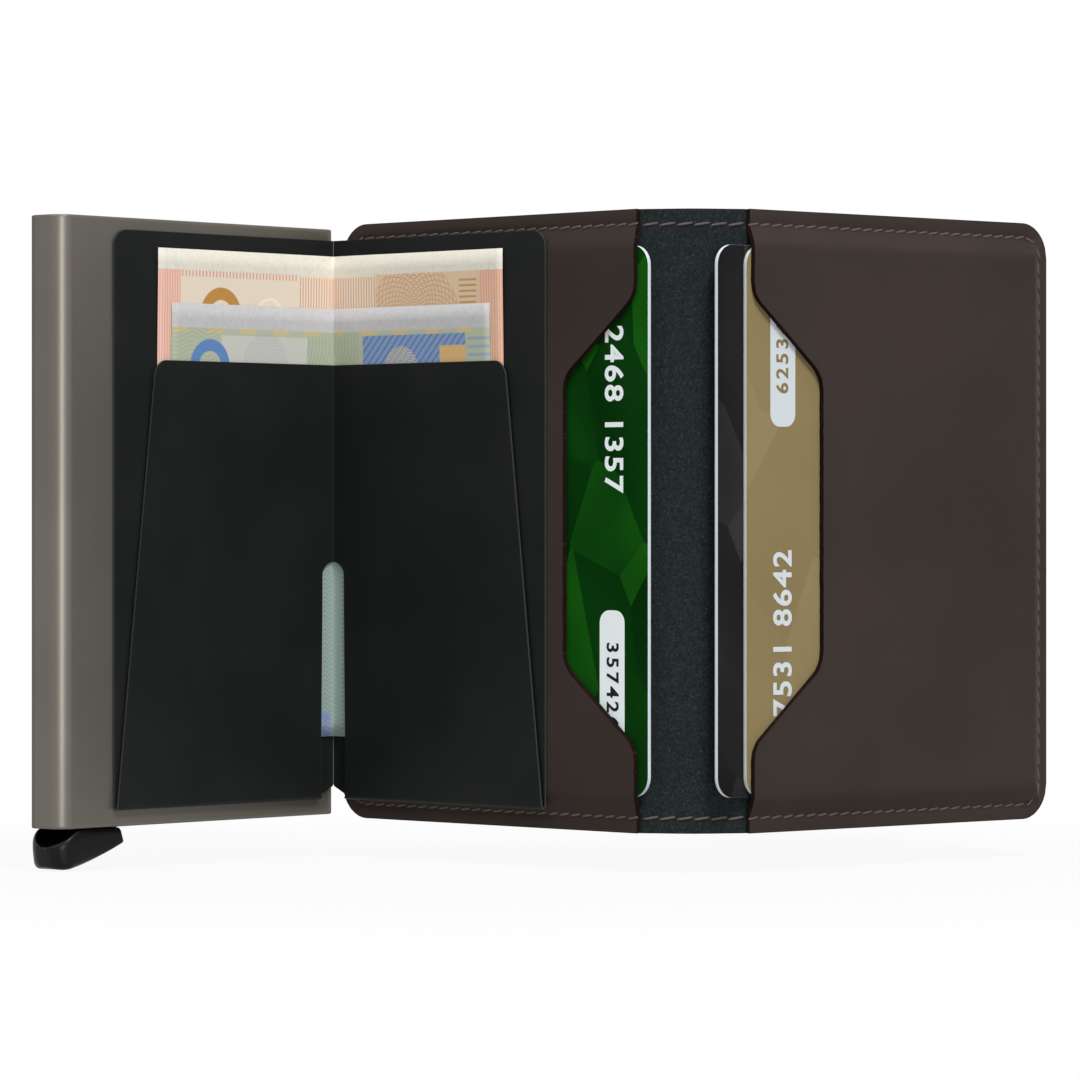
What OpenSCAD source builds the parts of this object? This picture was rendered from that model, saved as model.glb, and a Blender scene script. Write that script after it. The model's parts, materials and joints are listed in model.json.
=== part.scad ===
// Bifold wallet: an aluminium card holder with a push lever, a leather cover that wraps it,
// and a folded plastic sheet that joins the two and holds banknotes. It stands open in a zigzag.
// Every leaf has its own frame: x along the leaf, y towards its back, z up.

/* [Card holder] */
// Width of the tube past the card on each side
holder_side = 4.51; // [4:0.01:6]
// Depth of the cards' upper edges below the tube's upper end
card_cover = 1.2; // [0.8:0.1:4]
// Wall of the tube
tube_wall = 0.8; // [0.5:0.05:1]
// Radius of the tube's outer corners
tube_r = 2; // [1.2:0.1:3]
// Number of cards kept in the tube
holder_cards = 4; // [4]
// Height of the cards' lower edges above the tube's mouth
card_lift = 9; // [8.2:0.1:9.2]
// Thickness of a friction pad
pad_t = 1.35; // [0.5:0.05:2.5]
// Height of a friction pad
pad_h = 40; // [20:1:60]
// Height of a friction pad's lower edge above the tube's lower end
pad_z = 30; // [24:1:34]

/* [Eject lever] */
// Depth of the lever's nose below the tube
lever_drop = 6.75; // [5:0.05:9]
// Length of the lever's nose along the tube
lever_len = 14.1; // [12:0.1:18]
// Depth of the finger scoop at the nose's end
scoop_h = 2.2; // [1:0.1:3]
// Distance from the tube's side to the lever's pivot
pivot_in = 15; // [14.8:0.1:15.6]
// Height of the pivot above the tube's lower end
pivot_z = 2.5; // [2.3:0.05:2.7]
// Radius of the pivot pin
pin_r = 1.2; // [0.8:0.05:1.4]
// Turn of the lever from rest to its stop, in degrees
lever_swing = 38; // [20:1:40]
// Reach of the longest lifting arm
arm_reach = 32; // [26:0.5:33]
// Step between the reach of one arm and the next
arm_step = 6; // [3:0.5:7]

/* [Bank cards] */
// Width of a card
card_w = 53.98; // [50:0.01:54]
// Height of a card
card_h = 85.6; // [80:0.1:86]
// Thickness of a card
card_t = 0.76; // [0.6:0.01:0.8]
// Corner radius of a card
card_r = 3.18; // [1:0.01:5]
// Length of the green card past the left bend
green_out = 2.2; // [0.5:0.1:4]
// Length of the black card past the right bend
black_out = 6.6; // [1:0.1:8]
// Length of the gold card past the right bend
gold_out = 1.3; // [0.5:0.1:3]

/* [Leather cover] */
// Width of the leather's rim above and below a card pocket
rim_w = 5.3; // [4.4:0.1:8]
// Width of the leather's rim past a card pocket's closed end
leaf_rim = 4.5; // [3.9:0.1:8]
// Depth of a card pocket past the width of a card
pocket_spare = 9.2; // [8.8:0.1:12]
// Height of the leather's middle above the tube's middle
cover_up = 0.1; // [-0.5:0.1:1]
// Room between the closed leaves for the money pocket and the tube's tilt
wrap_room = 3.2; // [3:0.1:6]
// Thickness of the leather
leather_t = 0.8; // [0.6:0.05:0.85]
// Thickness of the suede lining
lining_t = 0.35; // [0.2:0.05:0.6]
// Corner radius of the leather
cover_r = 5.7; // [3:0.1:9]
// Depth of the finger cut-out in a pocket's edge
mouth_in = 15.9; // [8:0.1:24]
// Half height of the finger cut-out at the pocket's edge
mouth_h = 35; // [28:0.5:42]
// Half height of the finger cut-out's straight side
mouth_flat = 22.5; // [12:0.5:26]
// Radius of the finger cut-out's corners
mouth_r = 5; // [2:0.5:10]

/* [Stitching] */
// Distance from the leather's edge to the seam
stitch_in = 2.4; // [1.5:0.1:3]
// Distance from one stitch to the next
stitch_pitch = 2.5; // [2.2:0.1:4]
// Length of a stitch
stitch_len = 1.9; // [1:0.1:2.1]
// Width of the thread
thread_w = 0.42; // [0.3:0.02:0.6]
// Height of the thread above the leather
thread_t = 0.1; // [0.06:0.01:0.12]
// Slant of a stitch against the seam, in degrees
stitch_slant = 9; // [0:1:20]

/* [Money pocket] */
// Width of the plastic sheet on each side of its fold
sheet_w = 49.6; // [44:0.1:56]
// Height of the plastic sheet
sheet_h = 91.3; // [88:0.1:92]
// Height of the sheet's lower edge above the leather's lower edge
sheet_up = 3.1; // [2.8:0.1:4]
// Thickness of the plastic sheet
sheet_t = 0.3; // [0.2:0.05:0.35]
// Corner radius of the plastic sheet
sheet_r = 2.8; // [1:0.1:5]
// Height of the folded flap
flap_h = 70.9; // [60:0.1:80]
// Half width of the flap at its top
flap_top_w = 41.2; // [38:0.1:46]
// Half width of the slot in the flap
slot_w = 2.9; // [1.8:0.1:5]
// Height of the slot's round top above the sheet's lower edge
slot_top = 38.7; // [30:0.1:50]
// Half width of the notch in the sheet's lower edge
notch_w = 3.8; // [3.2:0.1:6]
// Height of the notch
notch_h = 1.85; // [1:0.05:2.5]
// Thickness of the adhesive film behind the sheet
film_t = 0.1; // [0.08:0.01:0.12]
// Thickness of a banknote
note_t = 0.1; // [0.08:0.01:0.12]
// Height of a banknote's lower edge above the sheet's lower edge
note_up = 10.2; // [6:0.1:14]
// Half width of the large banknote
large_note_w = 40.4; // [34:0.1:42]
// Height of the large banknote
large_note_h = 78.5; // [74:0.1:79]
// Half width of the small banknote
small_note_w = 37.6; // [30:0.1:40]
// Height of the small banknote
small_note_h = 69.9; // [64:0.1:74]

/* [Standing pose] */
// Angle between the tube's face and the left leaf, in degrees
fold_open = 85.9; // [60:0.1:110]
// Turn from the left leaf to the spine, in degrees
left_turn = 45.2; // [25:0.1:55]
// Turn from the spine to the right leaf, in degrees
right_turn = 41.65; // [25:0.05:55]
// Further turn that the left bend allows past the standing pose, in degrees
left_more = 30; // [10:1:30]
// Further turn that the right bend allows past the standing pose, in degrees
right_more = 5; // [0:1:5]

/* [Clearances] */
// Gap between a friction pad and the cards
pad_gap = 0.15; // [0.05:0.01:0.25]
// Gap around the pieces that slide or turn inside the tube
run_gap = 0.12; // [0.08:0.01:0.16]
// Gap between fixed pieces that meet at an angle
seat_gap = 0.05; // [0.03:0.01:0.1]
// Gap beside a card in a pocket, on each face
card_gap = 0.1; // [0.1:0.05:0.15]
// Gap under the card that lies on the lining
lining_gap = 0.25; // [0.2:0.05:0.3]
// Gap around the edges of a card in a pocket or in the tube
edge_gap = 0.4; // [0.2:0.05:0.6]
// Length of the tube past the fold
holder_past = 1.1; // [0.6:0.1:1.2]
// Gap from the fold to the edge of the leather
leather_past = 0.95; // [0.8:0.05:2]

/* [Hidden] */
$fn = 48;
cut = 0.1;                   // how far a cutting shape runs past the face it cuts

// Layers of the cover, counted from the lining's inner face
cover_t = lining_t + leather_t;
left_front = lining_gap + card_t + card_gap + leather_t;
right_front = lining_gap + 2*(card_t + card_gap) + leather_t;
gold_back = lining_gap + card_t + card_gap;
left_cut = cover_t*tan((left_turn + left_more)/2) + 2*seat_gap;
right_cut = cover_t*tan((right_turn + right_more)/2) + 2*seat_gap;
pocket_edge = 0.15;          // a pocket's edge stops this far from the bend
pocket_h = card_h/2 + edge_gap;
pocket_in = card_w + pocket_spare;
cover_h = 2*(pocket_h + rim_w);
right_w = pocket_in + leaf_rim;
left_edge = right_w;
left_w = left_edge + leather_past;
stack_t = holder_cards*card_t + (holder_cards - 1)*run_gap;
holder_t = stack_t + 2*(pad_gap + pad_t + tube_wall);
holder_w = card_w + 2*holder_side;
holder_h = card_lift + card_h + card_cover;
spine_w = left_front + holder_t + right_front + wrap_room;
cover_z = lever_drop + holder_h/2 + cover_up;
cover_low = cover_z - cover_h/2;

// Layers of the money pocket, counted from the face it is stuck to
sheet_face = film_t + sheet_t;
large_back = sheet_face + note_t;
small_back = large_back + note_t + note_t/2;
flap_back = small_back + 2*note_t;
flap_face = flap_back + sheet_t;
sheet_low = cover_low + sheet_up;
film_in = 8;                 // the adhesive starts this far from the fold
film_edge = 4;               // and stops this far inside the sheet's other edges

// Inside of the tube
tube_left = holder_past - holder_w;
stack_y = (holder_t - stack_t)/2;
card_x = holder_side;
card_pitch = card_t + run_gap;
insert_y = tube_wall + seat_gap;
cheek_t = 0.75;              // wall of the plastic insert beside the lever
channel_y = insert_y + cheek_t;
insert_h = 4.6;              // height of the insert's base
insert_floor = 0.9;          // floor of the lever's channel
rail_top = 1.8;              // the rails end this far below the tube's upper end
hub_r = pin_r + 1.2;
neck_out = 4.3;              // the lever's neck starts this far left of the pivot
neck_in = 1.9;               // and ends this far left of it, at the tube's mouth
channel_in = neck_out + 0.6;
arm_top = card_lift - pivot_z - run_gap;
arm_t = 1.7;                 // depth of an arm's tip

// Plan of the standing pose: the spine lies along x, and the box is centred on the origin
left_ang = -left_turn;
right_ang = right_turn;
holder_ang = 180 - fold_open - left_turn;
function turned(a, p) = [p.x*cos(a) - p.y*sin(a), p.x*sin(a) + p.y*cos(a)];
bend_b = [0, 0];
bend_c = bend_b + [spine_w, 0];
fold_v = bend_b + turned(left_ang, [-left_w, -left_front]);
tube_corner = fold_v + turned(holder_ang, [tube_left + tube_r, holder_t - tube_r]);
tube_front = fold_v + turned(holder_ang, [tube_left + tube_r, tube_r]);
tube_back = fold_v + turned(holder_ang, [holder_past - tube_r, holder_t - tube_r]);
free_front = bend_c + turned(right_ang, [right_w, -leather_t]);
free_back = bend_c + turned(right_ang, [right_w, cover_t]);
leather_back = bend_b + turned(left_ang, [-left_edge, cover_t]);
black_front = bend_c + turned(right_ang, [-black_out, -lining_gap - card_t]);
green_front = bend_b + turned(left_ang, [green_out, -lining_gap - card_t]);
low_x = tube_corner.x - tube_r;
high_x = max(free_front.x, free_back.x);
low_y = min(black_front.y, green_front.y, tube_front.y - tube_r);
high_y = max(tube_back.y + tube_r, free_back.y, leather_back.y);
plan_x = (low_x + high_x)/2;
plan_y = (low_y + high_y)/2;

// Frames of the four leaves
module in_frame(at, a) translate([at.x - plan_x, at.y - plan_y, 0]) rotate([0, 0, a]) children();
module in_holder() in_frame(fold_v, holder_ang) children();
module in_left() in_frame(bend_b, left_ang) children();
module in_spine() in_frame(bend_b, 0) children();
module in_right() in_frame(bend_c, right_ang) children();
module in_left_pocket() in_frame(fold_v, left_ang) children();
module in_tube() in_holder() translate([tube_left, 0, lever_drop]) children();

// Basic shapes
module slab(y0, y1) translate([0, y1, 0]) rotate([90, 0, 0]) linear_extrude(y1 - y0) children();
module box2(x0, z0, x1, z1) translate([x0, z0]) square([x1 - x0, z1 - z0]);
module rounded_box2(w, h, r) {
    translate([r, 0]) square([w - 2*r, h]);
    translate([0, r]) square([w, h - 2*r]);
    for (x = [r, w - r], y = [r, h - r]) translate([x, y]) circle(r);
}

// A polygon's points with the corners rounded, one radius for each corner
arc_steps = 8;
function unit(v) = v/norm(v);
function wrapped(a) = a > 180 ? a - 360 : a < -180 ? a + 360 : a;
function corner_arc(p0, p1, p2, r) =
    let (a = unit(p0 - p1), b = unit(p2 - p1), half = acos(a*b)/2,
        mid = p1 + unit(a + b)*r/sin(half),
        s = p1 + a*r/tan(half) - mid, e = p1 + b*r/tan(half) - mid,
        start = atan2(s.y, s.x), turn = wrapped(atan2(e.y, e.x) - start))
    [for (i = [0:arc_steps]) mid + r*[cos(start + turn*i/arc_steps), sin(start + turn*i/arc_steps)]];
function softened(p, r) =
    [for (i = [0:len(p) - 1]) each r[i] > 0
        ? corner_arc(p[(i + len(p) - 1) % len(p)], p[i], p[(i + 1) % len(p)], r[i]) : [p[i]]];

// ---- card holder ----
module tube_section(inset) {
    translate([inset, inset]) rounded_box2(holder_w - 2*inset, holder_t - 2*inset, tube_r - inset);
}
module holder_tube() color("#66625c") in_tube() linear_extrude(holder_h) difference() {
    tube_section(0);
    tube_section(tube_wall);
}

// Base and side rails in one moulding: the base holds the lever's pin, the rails guide the cards
module inner_frame() color("#1c1d1e") in_tube() difference() {
    linear_extrude(holder_h - rail_top) tube_section(insert_y);
    translate([card_x - edge_gap, 0, insert_h]) cube([card_w + 2*edge_gap, holder_t, holder_h]);
    translate([pivot_in - channel_in, channel_y, insert_floor])
        cube([holder_w - card_x - pivot_in + channel_in + edge_gap, holder_t - 2*channel_y, holder_h]);
    translate([pivot_in - channel_in, channel_y, -cut])
        cube([2*channel_in, holder_t - 2*channel_y, holder_h]);
    translate([pivot_in, holder_t, pivot_z]) rotate([90, 0, 0]) cylinder(r = pin_r + seat_gap/2, h = holder_t);
}

module lever_pin() color("#b8babd") in_tube() translate([pivot_in, holder_t - insert_y, pivot_z])
    rotate([90, 0, 0]) cylinder(r = pin_r, h = holder_t - 2*insert_y);

module friction_pad(y0) color("#3a3c3e") in_tube()
    slab(y0, y0 + pad_t) box2(card_x + 8, pad_z, card_x + card_w - 8, pad_z + pad_h);
module friction_pad_front() friction_pad(tube_wall);
module friction_pad_back() friction_pad(holder_t - tube_wall - pad_t);

// A lifting arm seen from the front, with the pivot at its origin. Its upper edge is an involute of
// a circle, so a card rises by the arm's reach times the turn, with the same gap all the way.
function rolled(reach, a) = turned(-a, [reach, arm_top + reach*a*PI/180]);
function arm_points(reach) = concat(
    [[0, hub_r - 0.1]], [for (i = [0:12]) rolled(reach, lever_swing*i/12)],
    [rolled(reach, lever_swing) - [0.6, arm_t], [reach, arm_top - 3.4], [0.3*reach, 0.4], [1, -hub_r + 0.5]]);

module nose_outline() polygon(softened(
    [[seat_gap, -scoop_h], [seat_gap, -lever_drop], [1.3, -lever_drop], [lever_len, -lever_drop*0.31],
        [lever_len - 0.9, -run_gap], [4.6, -run_gap]],
    [0.5, 0.6, 3, 0.5, 0, 2]));

module eject_lever() color("#202122") in_tube() difference() {
    union() {
        intersection() {
            slab(0, holder_t) nose_outline();
            translate([0, 0, -lever_drop - cut]) linear_extrude(lever_drop + 2*cut) tube_section(seat_gap);
        }
        translate([pivot_in, 0, pivot_z]) {
            slab(channel_y + run_gap, holder_t - channel_y - run_gap) {
                circle(hub_r);
                polygon([[-neck_out, -pivot_z - 2*run_gap], [-neck_in, -pivot_z - 2*run_gap],
                    [hub_r/2, -hub_r*0.85], [hub_r*0.9, 0], [-hub_r*0.9, hub_r/4]]);
            }
            for (i = [0:holder_cards - 1])
                slab(stack_y + i*card_pitch, stack_y + i*card_pitch + card_t)
                    polygon(arm_points(arm_reach - arm_step*(holder_cards - 1 - i)));
        }
    }
    translate([pivot_in, holder_t, pivot_z]) rotate([90, 0, 0]) cylinder(r = pin_r + seat_gap, h = holder_t);
}

module card(y0, x0, z0) slab(y0, y0 + card_t)
    translate([x0, z0]) rounded_box2(card_w, card_h, card_r);
module holder_card(i) in_tube() card(stack_y + i*card_pitch, card_x, card_lift);
module holder_card_1() color("#3d4a5c") holder_card(0);
module holder_card_2() color("#6b3f3a") holder_card(1);
module holder_card_3() color("#8a8d90") holder_card(2);
module holder_card_4() color("#33564a") holder_card(3);

// ---- money pocket, made of two halves that meet at the fold; side is -1 on the tube ----
function mitre(depth) = depth/tan(fold_open/2) + seat_gap;
module half(side) mirror([side < 0 ? 1 : 0, 0]) children();
module notch() polygon([[-notch_w, -cut], [notch_w, -cut], [notch_w, 0], [0, notch_h], [-notch_w, 0]]);
module sheet_outline() difference() {
    polygon(softened([[mitre(sheet_face), 0], [sheet_w, 0], [sheet_w, sheet_h], [mitre(sheet_face), sheet_h]],
        [0, 0.5, sheet_r, 0]));
    notch();
}
module flap_outline() difference() {
    polygon(softened([[mitre(flap_face), 0], [sheet_w - 0.1, 0], [flap_top_w, flap_h], [mitre(flap_face), flap_h]],
        [0, 0.5, sheet_r, 0]));
    notch();
    translate([0, slot_top - slot_w]) circle(slot_w);
    box2(-slot_w, -cut, slot_w, slot_top - slot_w);
}
module money_pocket(side) translate([0, 0, sheet_low]) {
    slab(-sheet_face, -film_t) half(side) sheet_outline();
    slab(-flap_face, -flap_back) half(side) flap_outline();
    slab(-flap_face, -film_t) half(side) box2(notch_w, 0, sheet_w - 0.5, sheet_t);
}
module money_pocket_left() color("#202323") in_holder() money_pocket(-1);
module money_pocket_right() color("#202323") in_left_pocket() money_pocket(1);

module film(side) translate([0, 0, sheet_low]) slab(-film_t, 0) half(side)
    box2(film_in, film_edge, sheet_w - film_edge, sheet_h - film_edge);
module adhesive_film_left() color("#9a9a96") in_holder() film(-1);
module adhesive_film_right() color("#9a9a96") in_left_pocket() film(1);

module note(side, depth, w, h) translate([0, 0, sheet_low + note_up])
    slab(-depth - note_t, -depth) half(side) box2(mitre(depth + note_t), 0, w, h);
module large_note(side) note(side, large_back, large_note_w, large_note_h);
module small_note(side) note(side, small_back, small_note_w, small_note_h);
module large_note_left() color("#dcc2a6") in_holder() large_note(-1);
module large_note_right() color("#dcc2a6") in_left_pocket() large_note(1);
module small_note_left() color("#b9bcae") in_holder() small_note(-1);
module small_note_right() color("#b9bcae") in_left_pocket() small_note(1);

// ---- leather cover; a leaf reaches from its bend at x = 0 towards +x, and the left one is mirrored ----
module leaf(side, y0, y1) translate([0, 0, cover_z]) slab(y0, y1) half(side) children();
module leaf_outline(start, w) polygon(softened(
    [[start, -cover_h/2], [w, -cover_h/2], [w, cover_h/2], [start, cover_h/2]], [0, cover_r, cover_r, 0]));
module pocket_outline(w) polygon(softened(
    [[pocket_edge, -cover_h/2], [w, -cover_h/2], [w, cover_h/2], [pocket_edge, cover_h/2],
        [pocket_edge, mouth_h], [mouth_in, mouth_flat], [mouth_in, -mouth_flat], [pocket_edge, -mouth_h]],
    [0, cover_r, cover_r, 0, mouth_r, mouth_r, mouth_r, mouth_r]));
module pocket_leather(side, w, front) difference() {
    union() {
        leaf(side, -leather_t, 0) pocket_outline(w);
        leaf(side, -front, 0) intersection() {
            pocket_outline(w);
            box2(0, -pocket_h - leather_t, pocket_in + leather_t, pocket_h + leather_t);
        }
    }
    leaf(side, -front + leather_t, cut) box2(-cut, -pocket_h, pocket_in, pocket_h);
}

module outer_leather_left() color("#3d322f") in_left() leaf(-1, lining_t, cover_t) leaf_outline(left_cut, left_edge);
module outer_leather_right() color("#3d322f") in_right() leaf(1, lining_t, cover_t) leaf_outline(right_cut, right_w);
module lining_left() color("#252d2d") in_left() leaf(-1, 0, lining_t) leaf_outline(left_cut, left_edge);
module lining_right() color("#252d2d") in_right() leaf(1, 0, lining_t) leaf_outline(right_cut, right_w);
module pocket_leather_left() color("#3d322f") in_left() pocket_leather(-1, left_edge, left_front);
module pocket_leather_right() color("#3d322f") in_right() pocket_leather(1, right_w, right_front);

module spine_layer(y0, y1) in_spine() leaf(1, y0, y1)
    box2(left_cut, -cover_h/2, spine_w - right_cut, cover_h/2);
module outer_leather_spine() color("#3d322f") spine_layer(lining_t, cover_t);
module lining_spine() color("#252d2d") spine_layer(0, lining_t);

// The soft leather that bridges a bend, drawn in the frame of the leaf or spine to its left
module cover_bend(turn, reach) translate([0, 0, cover_low]) linear_extrude(cover_h) polygon(
    [[0, 0], [-reach, 0], [-reach, cover_t], [-cover_t*tan(turn/2), cover_t],
        turned(turn, [reach, cover_t]), turned(turn, [reach, 0])]);
module cover_bend_left() color("#3a302d") in_left() cover_bend(left_turn, left_cut - seat_gap);
module cover_bend_right() color("#3a302d") in_frame(bend_c, 0) cover_bend(right_turn, right_cut - seat_gap);

// ---- seam: along the lower edge from the bend, round the free side, and back along the upper edge ----
seam_r = max(cover_r - stitch_in, 0.5);
seam_h = cover_h/2 - stitch_in;
function seam_at(d, w) =
    let (run = w - seam_r, side = 2*(seam_h - seam_r), arc = seam_r*PI/2,
        d1 = d - run, d2 = d1 - arc, d3 = d2 - side, d4 = d3 - arc)
    d1 < 0 ? [d, -seam_h, 0]
    : d2 < 0 ? [run + seam_r*sin(90*d1/arc), -seam_h + seam_r*(1 - cos(90*d1/arc)), 90*d1/arc]
    : d3 < 0 ? [w, -seam_h + seam_r + d2, 90]
    : d4 < 0 ? [run + seam_r*cos(90*d3/arc), seam_h - seam_r*(1 - sin(90*d3/arc)), 90 + 90*d3/arc]
    : [run - d4, seam_h, 180];
module stitch(p) translate([p.x, p.y]) rotate(p.z + stitch_slant)
    translate([-stitch_len/2, -thread_w/2]) square([stitch_len, thread_w]);
module leaf_seam(side, w) {
    whole = 2*(w - seam_r) + PI*seam_r + 2*(seam_h - seam_r);
    leaf(side, -leather_t - thread_t, -leather_t)
        for (d = [stitch_pitch/2 + pocket_edge:stitch_pitch:whole - stitch_pitch/2 - pocket_edge])
            stitch(seam_at(d, w));
}
module stitches_left() color("#4a3d39") in_left() leaf_seam(-1, left_edge - stitch_in);
module stitches_right() color("#4a3d39") in_right() leaf_seam(1, right_w - stitch_in);
module stitches_spine() color("#4a3d39") in_spine() leaf(1, -thread_t, 0)
    for (x = [left_cut + stitch_pitch/2:stitch_pitch:spine_w - right_cut - stitch_len/2], z = [-seam_h, seam_h])
        stitch([x, z, 0]);

// ---- cards in the leather pockets ----
module green_card() color("#0f4a12") in_left()
    card(-lining_gap - card_t, green_out - card_w, cover_z - card_h/2);
module black_card() color("#26282a") in_right()
    card(-lining_gap - card_t, -black_out, cover_z - card_h/2);
module gold_card() color("#8c7d57") in_right()
    card(-gold_back - card_t, -gold_out, cover_z - card_h/2);

holder_tube();
inner_frame();
lever_pin();
friction_pad_front();
friction_pad_back();
eject_lever();
holder_card_1();
holder_card_2();
holder_card_3();
holder_card_4();
adhesive_film_left();
adhesive_film_right();
money_pocket_left();
money_pocket_right();
large_note_left();
large_note_right();
small_note_left();
small_note_right();
outer_leather_left();
outer_leather_spine();
outer_leather_right();
lining_left();
lining_spine();
lining_right();
pocket_leather_left();
pocket_leather_right();
cover_bend_left();
cover_bend_right();
stitches_left();
stitches_spine();
stitches_right();
green_card();
black_card();
gold_card();
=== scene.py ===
# Bifold wallet: an aluminium card holder, a folded pocket for banknotes and a leather cover.
# The CAD model carries the joints. Many pieces made here ride on its bodies; the pocket, banknotes and cover stay
# where they are made.
import json
import math

import bpy
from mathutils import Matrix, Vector, noise


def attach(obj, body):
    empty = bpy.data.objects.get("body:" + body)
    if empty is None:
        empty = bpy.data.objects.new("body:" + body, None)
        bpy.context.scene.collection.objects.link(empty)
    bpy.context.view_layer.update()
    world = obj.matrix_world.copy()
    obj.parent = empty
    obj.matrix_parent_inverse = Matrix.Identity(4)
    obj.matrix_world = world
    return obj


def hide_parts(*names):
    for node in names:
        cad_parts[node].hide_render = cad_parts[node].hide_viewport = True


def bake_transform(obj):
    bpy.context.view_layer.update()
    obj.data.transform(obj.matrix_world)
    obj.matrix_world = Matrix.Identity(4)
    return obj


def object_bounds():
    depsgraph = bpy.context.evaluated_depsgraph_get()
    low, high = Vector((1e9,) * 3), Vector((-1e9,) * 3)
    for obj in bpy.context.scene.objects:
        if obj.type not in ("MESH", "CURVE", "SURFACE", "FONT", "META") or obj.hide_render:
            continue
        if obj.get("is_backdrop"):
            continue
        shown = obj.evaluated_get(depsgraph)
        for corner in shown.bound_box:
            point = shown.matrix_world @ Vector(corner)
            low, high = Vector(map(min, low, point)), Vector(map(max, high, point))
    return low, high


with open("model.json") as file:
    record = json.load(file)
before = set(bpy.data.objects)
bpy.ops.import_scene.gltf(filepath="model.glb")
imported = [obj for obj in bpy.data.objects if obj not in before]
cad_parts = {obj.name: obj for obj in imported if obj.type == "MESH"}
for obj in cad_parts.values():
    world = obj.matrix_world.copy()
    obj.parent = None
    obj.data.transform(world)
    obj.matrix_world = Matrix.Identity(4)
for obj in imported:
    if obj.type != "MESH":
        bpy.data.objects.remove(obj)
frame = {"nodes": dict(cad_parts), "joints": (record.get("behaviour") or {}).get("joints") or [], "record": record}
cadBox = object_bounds()
mm = 0.001
joints = {joint["name"]: joint for joint in frame["joints"]}
couplings = {item["joint"]: item["ratio"] for item in frame["record"]["behaviour"]["couplings"]}
print("frame loaded")


# places: every leaf of the wallet has its own frame
class Leaf:
    # u runs along the leaf, depth towards its back and z up from the floor, all in millimetres
    def __init__(self, pivot, along):
        self.pivot = Vector(joints[pivot]["pos_m"])
        self.along = Vector(along).normalized()
        self.back = Vector((-self.along.y, self.along.x, 0))

    def at(self, u, depth, z):
        return self.pivot + mm * (u * self.along + depth * self.back + Vector((0, 0, z)))

    def within(self, point):
        offset = (Vector(point) - self.pivot) / mm
        return Vector((offset.dot(self.along), offset.dot(self.back), offset.z))

    def extent(self, node):
        points = [self.within(vertex.co) for vertex in frame["nodes"][node].data.vertices]
        return [Vector([pick(p[axis] for p in points) for axis in range(3)]) for pick in (min, max)]


leverAxis = joints["lever_turn"]["axis"]
holder = Leaf("pocket_fold", (-leverAxis[1], leverAxis[0], 0))
leftAtFold = Leaf("pocket_fold", joints["green_card_slide"]["axis"])
left = Leaf("left_bend", joints["green_card_slide"]["axis"])
spine = Leaf("left_bend", Vector(joints["right_bend"]["pos_m"]) - Vector(joints["left_bend"]["pos_m"]))
right = Leaf("right_bend", joints["black_card_slide"]["axis"])

leftLow, leftHigh = left.extent("outer_leather_left")
rightHigh = right.extent("outer_leather_right")[1]
spineWidth = (right.pivot - left.pivot).length / mm
coverMiddle = (leftLow.z + leftHigh.z) / 2
coverHalf = (leftHigh.z - leftLow.z) / 2
coverBack = leftHigh.y
liningBack = left.extent("lining_left")[1].y


def smooth(low, high, value):
    t = min(max((value - low) / (high - low), 0), 1)
    return t * t * (3 - 2 * t)


def between(a, b, t):
    return a + (b - a) * t


def merged(values, gap=0.06):
    # sorted values, without those that lie closer than the gap to the one before
    kept = []
    for value in sorted(values):
        if not kept or value - kept[-1] > gap:
            kept.append(value)
    return kept


def evenRows(start, stop, count):
    return [between(start, stop, i / (count - 1)) for i in range(count)]


def evenly(start, stop, step):
    count = max(1, math.ceil(abs(stop - start) / step))
    return evenRows(start, stop, count + 1)


def cornerDrop(distance, radius):
    # how far a rounded corner has fallen away at this distance from its end
    return radius - math.sqrt(max(radius ** 2 - max(radius - distance, 0) ** 2, 0))


def filleted(corners, radii, steps=8):
    # an open outline through the corners, each rounded by its radius
    outline = [Vector(corners[0])]
    for before, corner, after, radius in zip(corners, corners[1:], corners[2:], radii):
        p = Vector(corner)
        a = (Vector(before) - p).normalized()
        b = (Vector(after) - p).normalized()
        half = math.acos(max(-1, min(1, a.dot(b)))) / 2
        centre = p + (a + b).normalized() * radius / math.sin(half)
        first = p + a * radius / math.tan(half) - centre
        last = p + b * radius / math.tan(half) - centre
        turn = math.atan2(first.x * last.y - first.y * last.x, first.dot(last))
        for i in range(steps + 1):
            angle = turn * i / steps
            c, s = math.cos(angle), math.sin(angle)
            outline.append(centre + Vector((first.x * c - first.y * s, first.x * s + first.y * c)))
    outline.append(Vector(corners[-1]))
    return outline


# meshes
def makePiece(name, points, faces, coords, finish, sharp=38, edges=()):
    mesh = bpy.data.meshes.new(name)
    mesh.from_pydata([tuple(p) for p in points], [], faces)
    mesh.materials.append(finish)
    places = mesh.attributes.new("leaf", "FLOAT_VECTOR", "POINT")
    places.data.foreach_set("vector", [x for c in coords for x in c])
    marks = mesh.attributes.new("edge", "FLOAT", "POINT")
    edges = set(edges)
    marks.data.foreach_set("value", [1.0 if i in edges else 0.0 for i in range(len(points))])
    mesh.polygons.foreach_set("use_smooth", [True] * len(mesh.polygons))
    mesh.set_sharp_from_angle(angle=math.radians(sharp))
    mesh.update()
    piece = bpy.data.objects.new(name, mesh)
    bpy.context.scene.collection.objects.link(piece)
    return piece


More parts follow.
